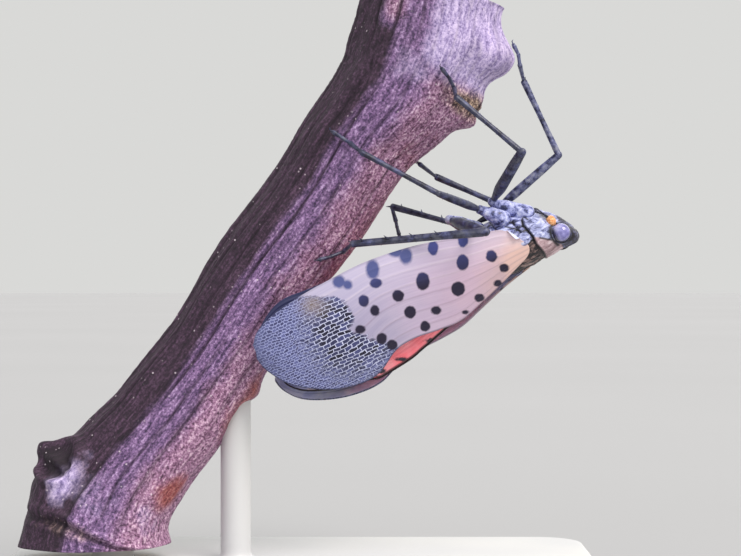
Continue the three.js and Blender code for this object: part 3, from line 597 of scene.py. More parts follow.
# The vine, a cut length with its bark. Each station: X, Z and radius
STEM_STATIONS = [
    (-15.6, 1.6, 5.3), (-14.7, 5.0, 5.2), (-13.1, 8.1, 4.6), (-9.6, 12.5, 4.25), (-6.0, 17.5, 3.95),
    (-2.4, 23.0, 4.1), (1.3, 28.1, 4.1), (4.2, 32.7, 4.15), (6.9, 36.1, 4.7), (8.5, 39.7, 4.95),
    (9.5, 43.6, 4.9),
]
# Share of the length, angle round the stem with 0 on the right, height, and spreads along and round
STEM_SWELLINGS = [
    (0.915, 0, 2.2, 0.035, 0.62), (1.0, 0, 0.6, 0.06, 0.7), (0.84, 0, 1.15, 0.035, 0.5),
    (0.815, 0, 0.7, 0.012, 0.3),
    (0.182, 2.8, 1.4, 0.018, 0.45), (0.14, 2.9, 0.7, 0.045, 0.7), (0.385, 0.1, 0.55, 0.014, 0.5),
    (0.09, 0, 0.7, 0.04, 0.7),
]
# Long grooves: angle round the stem, start and end shares of its length, depth
BARK_GROOVES = [
    (1.8, 0.33, 0.76, 0.26), (1.92, 0.05, 0.38, 0.2), (1.42, 0.48, 0.85, 0.15), (2.15, 0.4, 0.83, 0.17),
    (1.2, 0.12, 0.52, 0.15), (0.75, 0.35, 0.78, 0.12), (2.5, 0.12, 0.7, 0.17), (1.5, 0.13, 0.42, 0.18),
    (1.95, 0.87, 1.0, 0.28), (1.6, 0.9, 1.0, 0.16), (2.35, 0.86, 1.0, 0.22), (2.9, 0.3, 1.0, 0.18),
    (3.4, 0.0, 0.6, 0.2), (3.9, 0.2, 0.9, 0.25), (4.4, 0.05, 0.55, 0.2), (4.8, 0.5, 1.0, 0.24),
    (5.2, 0.1, 0.7, 0.2), (5.7, 0.35, 0.95, 0.22), (6.1, 0.05, 0.6, 0.15),
]
SHOOT_HOLLOW = {"along": 0.178, "half_length": 0.036, "angle": 2.62, "half_turn": 0.42}
STEM_Y = 1.0
STEM_CUT_HEIGHT = 3.5
STEM_CUT_MIDDLE = Vector((-15.15, STEM_Y, STEM_CUT_HEIGHT))
STEM_MIDDLES = [Vector((x, STEM_Y, z)) for x, z, _ in STEM_STATIONS]
STEM_RADII = [radius for _, _, radius in STEM_STATIONS]
STEM_LENGTH = 51.0
MEAN_RADIUS = 4.3
GROOVE_FADE = 0.04
GROOVE_WIDTH = 0.13


def turned(angle, middle):
    """The turn from the middle to the angle, at most half a turn either way."""
    return math.atan2(math.sin(angle - middle), math.cos(angle - middle))


def stem_patch(t, angle, along, length, middle, turn):
    """1 in the middle of a patch of the stem, falling off along it and round it."""
    return math.exp(-((t - along) / length) ** 2 - (turned(angle, middle) / turn) ** 2)


def stem_radius(t, angle):
    radius = eased(STEM_RADII, t) + 0.1 * math.cos(7 * angle + 5 * t)
    for along, middle, raise_, spread, turn in STEM_SWELLINGS:
        radius += raise_ * stem_patch(t, angle, along, spread, middle, turn)
    return radius


def stem_frame(t):
    """The middle of the stem, and the direction square to it on its right."""
    before, after = curve_point(STEM_MIDDLES, max(t - 1e-4, 0)), curve_point(STEM_MIDDLES, min(t + 1e-4, 1))
    tangent = (after - before).normalized()
    return curve_point(STEM_MIDDLES, t), Vector((tangent.z, 0, -tangent.x))


def stem_point(t, angle, grow=0.0):
    centre, right = stem_frame(t)
    reach = stem_radius(t, angle) + grow
    return centre + (right * math.cos(angle) + NEAR_SIDE * math.sin(angle)) * reach


def bark_relief(t, angle):
    """Height of the bark in mm, and how dark a groove it is there."""
    along = t * STEM_LENGTH
    ring = Vector((MEAN_RADIUS * math.cos(angle), MEAN_RADIUS * math.sin(angle), 0))
    groove = 0.0
    for number, (middle, begin, end, depth) in enumerate(BARK_GROOVES):
        if begin - GROOVE_FADE < t < end + GROOVE_FADE:
            wander = 0.1 * noise.noise(Vector((t * 7, number * 3.7, 0.5)))
            gap = abs(turned(angle, middle + wander)) * MEAN_RADIUS
            if gap < 0.6:
                fade = smooth(t, begin - GROOVE_FADE, begin + GROOVE_FADE)
                fade *= 1 - smooth(t, end - GROOVE_FADE, end + GROOVE_FADE)
                groove = max(groove, fade * depth * bell(gap, GROOVE_WIDTH))
    fine_crease = abs(noise.noise(ring * 1.3 + Vector((9, 4, along * 0.12))))
    strands = 1 - smooth(fine_crease, 0.0, 0.2)
    lumps = noise.noise(ring * 0.3 + Vector((0, 5, along * 0.28)))
    ropes = noise.noise(ring * 0.7 + Vector((1, 8, along * 0.06)))
    pebbles = noise.fractal(ring * 2.2 + Vector((5, 1, along * 1.6)), 0.8, 2.0, 3)
    height = 0.14 * lumps + 0.2 * ropes - groove - 0.05 * strands + 0.035 * pebbles
    scar = stem_patch(t, angle, 0.832, 0.022, 0.25, 0.75)
    height += 0.28 * scar * noise.noise(ring * 2.6 + Vector((0, 2, along * 2.6)))
    # The oval hollow left by a broken side shoot, with its raised lip
    oval = math.hypot((t - SHOOT_HOLLOW["along"]) / SHOOT_HOLLOW["half_length"],
                      turned(angle, SHOOT_HOLLOW["angle"]) / SHOOT_HOLLOW["half_turn"])
    if oval < 2:
        torn = noise.noise(ring * 1.4 + Vector((3, 3, along * 1.4)))
        height += 0.42 * bell(oval - 1, 0.2) * (1 + 0.5 * torn)
        height -= (0.55 + 0.35 * torn) * (1 - smooth(oval, 0.45, 0.95))
    # An old leaf scar below it: two wavy ridges with a dark crease between them
    wavy = 0.006 * math.sin(4 * angle) + 0.004 * noise.noise(ring * 0.9)
    across = smooth(math.cos(angle - 1.6), 0.1, 0.6)
    upper, crease, lower = (bell(t - middle - wavy, spread)
                            for middle, spread in ((0.1, 0.006), (0.087, 0.005), (0.074, 0.005)))
    height += across * (0.24 * upper - 0.22 * crease + 0.16 * lower)
    darkness = groove * 4.2 + 0.3 * strands
    darkness += 0.9 * (1 - smooth(oval, 0.5, 0.9)) + 0.6 * across * crease
    return height, min(darkness, 1.0)


def bark_zones(t, angle):
    """Shares of the bark's colours at a place, by its side of the stem and its distance along it. The shaded
    share is painted shade on the side away from the light.
    """
    side = math.cos(angle - 0.25)
    upper = smooth(t, 0.825, 0.885)
    near_top = smooth(math.cos(angle - 0.7), 0.5, 0.9)
    stripe = smooth(t, 0.88, 0.94) * bell(turned(angle, 2.05), 0.2)
    around_hollow = bell(t - 0.17, 0.05) * smooth(math.cos(angle - 1.5), 0.2, 0.9)
    patch = lambda *place: stem_patch(t, angle, *place)
    return {
        "ruddy": max(0.95 * smooth(side, 0.2, 0.9) * (1 - 0.8 * upper), 0.9 * stripe),
        # Painted shade on the side of the stem away from the light
        "shaded": 0.95 * smooth(-side, -0.1, 0.25) * (1 - stripe),
        "bloom": max(0.6 * patch(0.85, 0.04, 1.5, 0.4), 0.9 * upper * near_top, 0.3 * around_hollow,
                     0.8 * patch(0.165, 0.05, 2.25, 0.22)),
        "rust": max(patch(0.235, 0.035, 0.6, 0.3), 0.7 * patch(0.37, 0.06, 0.3, 0.35),
                    0.35 * patch(0.72, 0.06, 0.35, 0.4)),
        "scar": max(0.75 * patch(0.835, 0.02, 0.3, 0.6), 0.4 * patch(0.09, 0.02, 1.7, 0.9)),
    }


def make_vine():
    sawn = 0.05  # share of the rows that lie on each sawn face
    lowest = {}
    marks = {name: [] for name in BARK_MARKS}

    def start_of(angle):
        """The share of the stem's length at which this side of it rises out of the lower cut."""
        key = round(angle, 5)
        if key not in lowest:
            low, high = 0.0, 0.15
            for _ in range(30):
                middle = (low + high) / 2
                low, high = (low, middle) if stem_point(middle, angle).z > STEM_CUT_HEIGHT else (middle, high)
            lowest[key] = high
        return lowest[key]

    def place(along, round_):
        angle = 2 * math.pi * round_
        start = start_of(angle)
        out = min(along, 1 - along) / sawn
        t = start + (1 - start) * min(max((along - sawn) / (1 - 2 * sawn), 0), 1)
        height, groove = bark_relief(t, angle)
        height *= smooth(t, start, start + 0.006) * smooth(1 - t, 0, 0.004)
        point = stem_point(t, angle, height - 0.1)
        wood = 0.0
        if out < 1:
            point = (curve_point(STEM_MIDDLES, 1) if along > 0.5 else STEM_CUT_MIDDLE).lerp(point, out)
            wood = smooth(0.93 - out, 0, 0.03)
            groove = 0.8 if 0.86 < out < 0.95 else 0.0
        if along <= sawn:
            point.z = STEM_CUT_HEIGHT
        found = {"groove": groove, "wood": wood, "ring_radius": min(out, 1.0) * 5.0, **bark_zones(t, angle)}
        for name, value in found.items():
            marks[name].append(value)
        return point

    vine = shaped_grid("vine", 400, 236, place, closed=False)
    for name, values in marks.items():
        attribute(vine, name, values)
    close_seams(vine)
    dress(vine, BARK, "bark", "perch_stem")
    return vine


vine = make_vine()

# The stand. Each rod: X and radius
BASE = {"width": 43, "depth": 28, "height": 2.4, "corner": 3.5, "edge": 0.4}
RODS = {"stand_rod_1": (-13.6, 1.5), "stand_rod_2": (-4.7, 1.1)}
ROD_FLARE = 0.35
ROD_IN_BARK = 0.15


def make_plate():
    clear_selection()
    bpy.ops.mesh.primitive_cube_add(size=1, location=(0, 0, BASE["height"] / 2 * MM))
    plate = named("stand_plate")
    plate.scale = (BASE["width"] * MM, BASE["depth"] * MM, BASE["height"] * MM)
    bpy.ops.object.transform_apply(location=True, rotation=True, scale=True)
    bpy.ops.object.mode_set(mode="EDIT")
    bpy.ops.mesh.select_all(action="DESELECT")
    bpy.ops.mesh.select_mode(type="EDGE")
    bpy.ops.object.mode_set(mode="OBJECT")
    for edge in plate.data.edges:
        low, high = (plate.data.vertices[i].co for i in edge.vertices)
        edge.select = abs(low.z - high.z) > MM
    bpy.ops.object.mode_set(mode="EDIT")
    bpy.ops.mesh.bevel(offset=BASE["corner"] * MM, segments=12, affect="EDGES")
    bpy.ops.object.mode_set(mode="OBJECT")
    modify(plate, "BEVEL", width=BASE["edge"] * MM, segments=4, limit_method="ANGLE",
           angle_limit=math.radians(40))
    bpy.ops.object.shade_smooth_by_angle(angle=math.radians(35))
    dress(plate, PLASTIC, "stand", "stand_base")


def make_rods():
    """The rods, each from a flared foot on the base up into the bark over it."""
    bark = BVHTree.FromObject(vine, bpy.context.evaluated_depsgraph_get())
    foot = BASE["height"]
    for node, (x, radius) in RODS.items():

        def place(along, round_):
            angle = 2 * math.pi * round_
            reach = radius
            if along < 0.12:
                reach = radius + ROD_FLARE * (1 - smooth(along, 0.02, 0.12))
            if along > 0.97:
                reach *= (1 - along) / 0.03
            spot = Vector((x + reach * math.cos(angle), STEM_Y + reach * math.sin(angle), 0))
            hit = bark.ray_cast(Vector((spot.x, spot.y, 2.5)) * MM, Vector((0, 0, 1)))[0]
            top = hit.z / MM + ROD_IN_BARK if hit else foot + 1.0
            spot.z = foot + (top - foot) * smooth(along, 0, 0.95)
            return spot

        dress(shaped_grid(node.replace("stand", "perch"), 30, 48, place), PLASTIC, "rod", node)


make_plate()
make_rods()

# The body, one skin over all its parts. Each station: distance back, middle, half height and half width
BODY_STATIONS = [
    (1.2, -0.9, 0.9, 1.35), (2.0, -1.3, 1.5, 1.9), (3.0, -1.5, 1.75, 2.15), (4.2, -1.65, 2.0, 2.25),
    (5.5, -1.75, 2.05, 2.25), (7.0, -1.85, 1.75, 2.05), (9.0, -1.9, 1.45, 1.9), (11.0, -1.8, 1.2, 1.6),
    (12.8, -1.6, 0.85, 1.05), (14.0, -1.45, 0.45, 0.5),
]
HEAD_STATIONS = [
    (0.08, -0.33, 0.36, 0.5), (0.3, -0.4, 0.6, 0.95), (0.75, -0.55, 0.78, 1.3), (1.25, -0.8, 1.0, 1.45),
    (1.8, -1.0, 1.05, 1.45),
]
# Outlines of the plates in the side view, as (distance back, height)
PRONOTUM_FRONT = [(1.15, 0.6), (1.5, -0.05), (1.85, -0.7), (1.95, -1.6), (2.2, -2.5), (2.6, -12)]
PRONOTUM_REAR = [(2.75, 0.8), (2.95, 0.1), (3.25, -0.5), (3.25, -1.0), (3.5, -2.0), (3.3, -2.9), (3.0, -12)]
MESONOTUM_FLOOR = [(3.45, -0.75), (4.2, -0.45), (5.2, -0.05), (6.3, 0.35)]
ABDOMEN_FRONT = 7.0
SEGMENT_LENGTH = 1.05
# Black lines of the side view, with their half widths
DARK_LINES = [
    ([(3.87, -4.37), (3.19, -4.12), (2.69, -3.67), (2.19, -3.2), (1.77, -2.57), (1.54, -2.23)], 0.17),
    ([(2.79, -0.74), (2.35, -0.49), (1.9, -0.27)], 0.06),
    ([(1.07, -1.41), (0.65, -1.1), (0.41, -0.68), (0.46, -0.01)], 0.08),
    ([(4.67, -2.53), (4.12, -2.02), (3.64, -1.54)], 0.06),
    ([(5.23, -3.87), (4.96, -3.25), (4.42, -2.74), (3.9, -2.49)], 0.09),
    ([(4.0, -3.28), (3.33, -2.87), (3.0, -2.3)], 0.07), ([(1.68, -2.12), (1.86, -2.32)], 0.24),
]
PLEURAL_SEAMS = [
    [(3.7, -0.9), (4.0, -2.0), (4.2, -3.6)], [(4.9, -0.9), (5.3, -2.1), (5.5, -3.7)],
    [(6.0, -0.6), (6.4, -2.0), (6.4, -3.4)], [(3.4, -2.1), (4.6, -1.7), (6.5, -1.5)],
]
# Distances back, out from the middle, and up
EYE_PLACE = (1.22, 1.38, -0.55)
ANTENNA_PLACE = (1.5, 1.42, -1.62)
TEGULA_PLACE = (3.95, 2.42, -1.0)
# The far eye lies further in and lower, so that the head hides it from the photo's side
FAR_EYE_PLACE = (1.22, 1.38 - 0.13, -0.55 - 0.16)
EYE_RADIUS = 0.68
EYE_RIM = 0.7
PEDICEL_RADII = (0.36, 0.46, 0.42)
TEGULA_RADII = (0.6, 0.32, 0.5)


def body_loft(name, stations, rows, sides):
    cap = 0.05

    def station_at(place):
        index = min(int(place), len(stations) - 2)
        f = place - index
        near_stations = (stations[min(max(index + k, 0), len(stations) - 1)] for k in (-1, 0, 1, 2))
        return [0.5 * (2 * b + (c - a) * f + (2 * a - 5 * b + 4 * c - d) * f * f
                       + (3 * b - a - 3 * c + d) * f ** 3) for a, b, c, d in zip(*near_stations)]

    def place(along, round_):
        t = min(max((along - cap) / (1 - 2 * cap), 0), 1)
        back, middle, high, wide = station_at(t * (len(stations) - 1))
        angle = 2 * math.pi * round_
        bend = rounded_end(along, cap)
        share, push = math.cos(bend), 0.35 * high * math.sin(bend)
        return at(back + push, wide * share * math.sin(angle), middle + high * share * math.cos(angle))

    return shaped_grid(name, rows, sides, place)


def line_distance(points, back, up):
    """Distance in the side view from each point to a line of (back, up) corners."""
    best = np.full(len(back), 99.0)
    for (b0, u0), (b1, u1) in zip(points, points[1:]):
        length = (b1 - b0) ** 2 + (u1 - u0) ** 2
        share = np.clip(((back - b0) * (b1 - b0) + (up - u0) * (u1 - u0)) / length, 0, 1)
        best = np.minimum(best, np.hypot(back - b0 - share * (b1 - b0), up - u0 - share * (u1 - u0)))
    return best


def make_body():
    trunk = body_loft("trunk", BODY_STATIONS, 120, 72)
    skull = body_loft("skull", HEAD_STATIONS, 60, 64)
    face = tube("face", [at(0.75, 0, -0.7), at(1.25, 0, -1.55), at(1.62, 0, -2.2), at(1.9, 0, -2.85)],
                [0.7, 0.72, 0.62, 0.34], sides=40, rows=40, side_axis=LEFTWARD, flat=1.25)
    skin = joined("body_skin", [trunk, skull, face])
    modify(skin, "REMESH", mode="VOXEL", voxel_size=0.048 * MM, adaptivity=0.0, use_smooth_shade=True)
    modify(skin, "SMOOTH", factor=0.5, iterations=6)

    count = len(skin.data.vertices)
    flat = np.empty(count * 3, "f")
    skin.data.vertices.foreach_get("co", flat)
    points = flat.reshape(-1, 3).astype(float) / MM
    skin.data.vertices.foreach_get("normal", flat)
    normals = flat.reshape(-1, 3).astype(float)
    offset = points - np.array(HEAD_TIP)
    back, left, up = -offset @ np.array(FORWARD), offset @ np.array(LEFTWARD), offset @ np.array(DORSAL)

    profile = lambda line: np.interp(up, *reversed(list(zip(*reversed(line)))))
    behind_front = back - profile(PRONOTUM_FRONT)
    behind_rear = back - profile(PRONOTUM_REAR)
    above_floor = up - np.interp(back, *zip(*MESONOTUM_FLOOR))
    pronotum = smooth_all(behind_front, -0.02, 0.05) * (1 - smooth_all(behind_rear, -0.05, 0.02))
    mesonotum = smooth_all(behind_rear, -0.02, 0.05) * smooth_all(above_floor, -0.05, 0.05)
    mesonotum *= 1 - smooth_all(back, ABDOMEN_FRONT - 0.5, ABDOMEN_FRONT - 0.3)
    abdomen = smooth_all(back, ABDOMEN_FRONT - 0.05, ABDOMEN_FRONT + 0.05)
    head = 1 - smooth_all(behind_front, -0.1, -0.02)
    side_face = smooth_all(-up - 0.53 * (back - 1.9), 0.24, 0.34)
    gena = head * smooth_all(-up, 0.95, 1.15) * smooth_all(back, 0.85, 1.05)

    seams = 0.5 * bell_all(behind_front, 0.05) * (up > -0.9)
    seams = seams + bell_all(behind_rear + 0.02, 0.1) * (up > -2.6)
    seams += bell_all(above_floor, 0.06) * (back > 3.3) * (back < 6.6)
    pleura = sum(bell_all(line_distance(line, back, up), 0.07) for line in PLEURAL_SEAMS)
    pleura *= (behind_rear > 0) * (abdomen < 0.5)
    segment = (back - ABDOMEN_FRONT) / SEGMENT_LENGTH
    segment_edge = np.abs(segment - np.round(segment)) * SEGMENT_LENGTH
    rings = bell_all(segment_edge, 0.07) * (back > ABDOMEN_FRONT - 0.2)
    keels = bell_all(left, 0.07) * (up > -0.6) * (back > 0.4) * (back < 6.6)
    keels += bell_all(np.abs(left) - 0.55 - 0.06 * back, 0.06) * (up > -0.5) * (back > 3.2) * (back < 6.2)
    shield_rim = bell_all(behind_rear + 0.16, 0.07) * pronotum
    raised = 0.06 * pronotum + 0.05 * shield_rim + 0.05 * keels
    raised = raised - 0.1 * seams - 0.09 * pleura - 0.08 * rings
    folds = np.array([noise.fractal(Vector(spot) * 1.3, 1.0, 2.0, 3) for spot in points])
    raised += 0.07 * folds * (behind_rear > 0) * (1 - abdomen)
    raised += 0.05 * np.sin(np.pi * np.clip(segment % 1, 0, 1)) * abdomen
    points += normals * raised[:, None]
    skin.data.vertices.foreach_set("co", (points * MM).astype("f").ravel())
    skin.data.update()

    bands = np.clip(rings * 1.4 + abdomen * smooth_all(np.abs(left), -0.1, 0.5) * (up > -1.0) * 0.4, 0, 1)
    band_marks = abdomen * smooth_all(np.abs((segment % 1) - 0.3), 0.34, 0.24) * (up > -1.9)
    attribute(skin, "pronotum", pronotum)
    attribute(skin, "lobe", np.maximum(pronotum * side_face, gena))
    attribute(skin, "mesonotum", mesonotum)
    attribute(skin, "abdomen", abdomen)
    attribute(skin, "head", head * (1 - gena))
    socket = np.hypot(back - EYE_PLACE[0], up - EYE_PLACE[2])
    dark = bell_all(socket - 0.78, 0.13) * smooth_all(np.abs(left), 0.5, 0.8)
    for line, half_width in DARK_LINES:
        line_share = bell_all(line_distance(line, back, up), half_width)
        dark = np.maximum(dark, line_share * (np.abs(left) > 0.3))
    dark = np.maximum(dark, smooth_all(behind_rear, 0.1, 0.2) * mesonotum * smooth_all(-up, -0.6, 0.1) * 0.25)
    attribute(skin, "seam", np.clip(seams * 1.3 + pleura * 0.7 + bands * 0.6 + band_marks + dark, 0, 1))
    dress(skin, CUTICLE, "thorax", "pronotum", "mesonotum", "thorax", "abdomen", "head")
    return skin


def make_eye(side, word):
    back, out, up = EYE_PLACE if side == 1 else FAR_EYE_PLACE
    middle = at(back, side * out, up)
    eye = ball("eye_dome_" + word, middle, (EYE_RADIUS, EYE_RADIUS * 0.9, EYE_RADIUS), segments=64, rings=40)
    # Painted shade: darker toward the eye's back and where it meets the head
    shaded = []
    for vertex in eye.data.vertices:
        offset = vertex.co / MM - middle
        forward, outward = offset.dot(FORWARD) / EYE_RADIUS, offset.dot(LEFTWARD) * side
        shaded.append(0.9 * smooth(-forward, 0.35, 0.8) + 0.7 * (1 - smooth(outward, 0.1, 0.3)))
    attribute(eye, "shaded", shaded)
    dress(eye, EYE, "eye", "eye_" + word)
    ring = [at(back + EYE_RIM * math.cos(turn), side * (out - 0.12), up + EYE_RIM * math.sin(turn))
            for turn in (2 * math.pi * step / 12 for step in range(13))]
    rim = tube("eye_rim_" + word, ring, [0.09] * 13, sides=12, rows=90, side_axis=LEFTWARD)
    dress(rim, LEG, "head")


def make_antenna(side, word):
    back, out, up = ANTENNA_PLACE
    bulb = ball("antenna_bulb_" + word, at(back, side * out, up), PEDICEL_RADII, segments=48, rings=32)
    collar = ball("collar", at(back - 0.05, side * (out - 0.25), up + 0.12), (0.3, 0.3, 0.34))
    dress(bulb, BULB, "antenna", "antenna_" + word)
    start, end = at(back + 0.1, side * (out + 0.2), up - 0.3), at(2.15, side * 2.35, -2.75)
    bristle = tube("bristle", [start, start.lerp(end, 0.45), end], [0.1, 0.05, 0.02], sides=10, rows=30,
                   side_axis=FORWARD)
    dress(joined("antenna_bristle_" + word, [bristle, collar]), LEG, "antenna")


def make_tegula(side, word):
    back, out, up = TEGULA_PLACE
    middle = at(back, side * out, up)
    scale = ball("tegula_scale_" + word, middle, TEGULA_RADII, segments=64, rings=40)
    outward = [(vertex.co / MM - middle).dot(LEFTWARD) * side / TEGULA_RADII[1]
               for vertex in scale.data.vertices]
    attribute(scale, "lobe", [1.0] * len(outward))
    attribute(scale, "seam", [1 - smooth(share, 0.2, 0.5) for share in outward])
    dress(scale, CUTICLE, "thorax", "tegula_" + word)


def make_beak():
    line = [at(2.02, 0, -3.05), at(3, 0, -3.72), at(4.2, 0, -4.1), at(5.6, 0, -4.25), at(6.4, 0, -4.22)]
    beak = tube("beak_sheath", line, [0.29, 0.27, 0.25, 0.21, 0.1], sides=20, rows=60, side_axis=LEFTWARD)
    dress(beak, LEG, "head", "beak")


make_body()
for side, word in SIDES:
    make_eye(side, word)
    make_antenna(side, word)
    make_tegula(side, word)
make_beak()

# The wings. Each pair: inner and front margin, as distances back, out from the middle, and up
FOREWING_MARGINS = [
    ((4.75, 1.3, 0.05), (4.45, 2.75, -1.25)), ((6.39, 0.75, 0.58), (5.3, 3.1, -1.8)),
    ((8.52, 0.65, 1.32), (7.1, 3.8, -2.4)), ((10.54, 0.8, 1.93), (9.2, 4.45, -2.95)),
    ((12.09, 1.3, 1.98), (11.2, 4.95, -3.3)), ((13.98, 1.85, 1.92), (13.1, 5.2, -3.52)),
    ((15.4, 1.85, 2.13), (15.0, 5.3, -3.65)), ((17.45, 1.25, 3.05), (17.3, 5.4, -3.57)),
    ((19.68, 1.35, 3.0), (19.7, 5.4, -3.4)), ((21.6, 1.9, 2.35), (21.3, 5.3, -3.17)),
    ((23.2, 2.7, 1.38), (22.7, 5.0, -2.9)), ((24.15, 3.5, 0.13), (23.75, 4.75, -2.45)),
    ((24.42, 4.0, -0.95), (24.36, 4.5, -1.85)),
]
WING_ARCH = 0.07
ROOT_BULGE = 0.8
FRONT_FLAP = 0.5
MEMBRANE = 0.14
CAD_MEMBRANE = 0.5
FOREWING_LENGTH = 20.5
WING_WIDTH = 6.5
MARGIN_SAMPLES = 320
# Black spots of the forewing: share of the length, share of the width from the inner margin, half sizes
# along the ground and upward in the pose
WING_SPOTS = [
    (0.199, 0.976, 0.36, 0.51), (0.211, 0.702, 0.43, 0.54), (0.124, 0.655, 0.40, 0.36),
    (0.085, 0.329, 0.32, 0.29),
    (0.109, 0.097, 0.32, 0.22), (0.175, 0.115, 0.36, 0.29), (0.342, 0.611, 0.47, 0.61),
    (0.238, 0.412, 0.47, 0.51),
    (0.428, 0.540, 0.40, 0.40), (0.406, 0.315, 0.40, 0.43), (0.327, 0.245, 0.36, 0.29),
    (0.226, 0.068, 0.25, 0.14),
    (0.374, 0.097, 0.36, 0.36), (0.519, 0.523, 0.32, 0.36), (0.485, 0.757, 0.43, 0.32),
    (0.536, 0.672, 0.36, 0.40),
    (0.575, 0.476, 0.36, 0.29), (0.531, 0.242, 0.36, 0.40), (0.509, 0.088, 0.36, 0.36),
    (0.285, 0.937, 0.36, 0.51),
]
# Spots near the front margin, which the bloom turns soft and blue
SOFT_SPOTS = [
    (0.394, 1.0, 0.6, 0.42), (0.369, 0.922, 0.46, 0.6), (0.479, 0.901, 0.48, 0.72),
    (0.575, 0.945, 0.46, 0.46),
    (0.558, 0.885, 0.34, 0.34),
]
# Where the netted part begins: (share of the width, share of the length)
NET_BORDER = [(0.0, 0.506), (0.28, 0.551), (0.53, 0.594), (0.65, 0.583), (0.79, 0.579), (0.91, 0.631),
              (1.0, 0.679)]
# Where the cells are darkest, and a buff patch: share of the length, of the width, and half sizes
NET_CORE = (0.6, 0.5, 3.5, 3.5)
NET_PATCH = (0.655, 0.88, 0.9, 0.8)
MAIN_VEINS = [0.12, 0.3, 0.47, 0.62, 0.77, 0.9]
HINDWING_SHAPE = {"start": 0.12, "end": 0.925, "depth": 0.80, "mid_gap": 0.15, "over_costal": 0.09}
# Share of the length, and how far the inner edge reaches out from under the forewing, in shares of its width
HINDWING_REACH = [(0.12, 0.0), (0.2, -0.02), (0.25, -0.06), (0.3, -0.11), (0.34, -0.15), (0.37, -0.19),
                  (0.42, -0.26),
                  (0.47, -0.3), (0.5, -0.3), (0.536, -0.22), (0.574, -0.1), (0.62, 0.0), (0.95, 0.03)]
HINDWING_SPOTS = [(0.18, 0.3, 0.5, 0.4), (0.34, -0.04, 0.3, 0.1), (0.33, 0.45, 0.4, 0.4),
                  (0.356, -0.17, 0.45, 0.15),
                  (0.49, -0.2, 0.4, 0.14), (0.564, -0.07, 0.3, 0.16)]


def margin_curves(side):
    edges = []
    for edge in (0, 1):
        points = [Vector((pair[edge][0], side * pair[edge][1], pair[edge][2])) for pair in FOREWING_MARGINS]
        edges.append([curve_point(points, i / MARGIN_SAMPLES) for i in range(MARGIN_SAMPLES + 1)])
    return edges


def forewing_surface(side):
    edges = margin_curves(side)

    def on(edge, u):
        spot = min(max(u, 0), 1) * (len(edge) - 1)
        index = min(int(spot), len(edge) - 2)
        return edge[index].lerp(edge[index + 1], spot - index)

    def surface(u, v):
        start = on(edges[0], u)
        chord = on(edges[1], u) - start
        out = Vector((0, abs(chord.z) * side, abs(chord.y))).normalized()
        return start + chord * v + out * (WING_ARCH * chord.length * math.sin(math.pi * v))

    return surface


def surface_normal(surface, u, v, side):
    step = 4e-3
    along = surface(min(u + step, 1), v) - surface(max(u - step, 0), v)
    across = surface(u, v + step) - surface(u, v - step)
    normal = along.cross(across).normalized()
    return normal if normal.dot(Vector((0, side * 0.8, 0.6))) > 0 else -normal


def sheet_form(name, rows, columns, place, outward_side):
    """An open grid whose faces look outward, so that its thickness can be given inward."""
    sheet = shaped_grid(name, rows, columns, place, closed=False)
    centre = sheet.data.polygons[len(sheet.data.polygons) // 2]
    outward = LEFTWARD * (0.8 * outward_side) + DORSAL * 0.6
    if centre.normal.dot(outward) < 0:
        edit_all(sheet, bpy.ops.mesh.flip_normals)
    return sheet


def spot_distance(points, spots, surface):
    """Signed distance in mm from each wing point to the nearest spot's rim, below zero inside."""
    best = np.full(len(points), 9.0)
    for u, v, half_x, half_z in spots:
        gap = points - np.array(at(*surface(u, v)))
        ratio = np.sqrt((gap[:, 0] / half_x) ** 2 + (gap[:, 2] / half_z) ** 2 + (gap[:, 1] / 1.5) ** 2)
        best = np.minimum(best, (ratio - 1) * min(half_x, half_z))
    return best


def mark_share(points, mark, surface):
    """1 in the middle of a soft mark, falling off with its half sizes."""
    u, v, half_x, half_z = mark
    gap = points - np.array(at(*surface(u, v)))
    return np.exp(-((gap[:, 0] / half_x) ** 2 + (gap[:, 2] / half_z) ** 2))


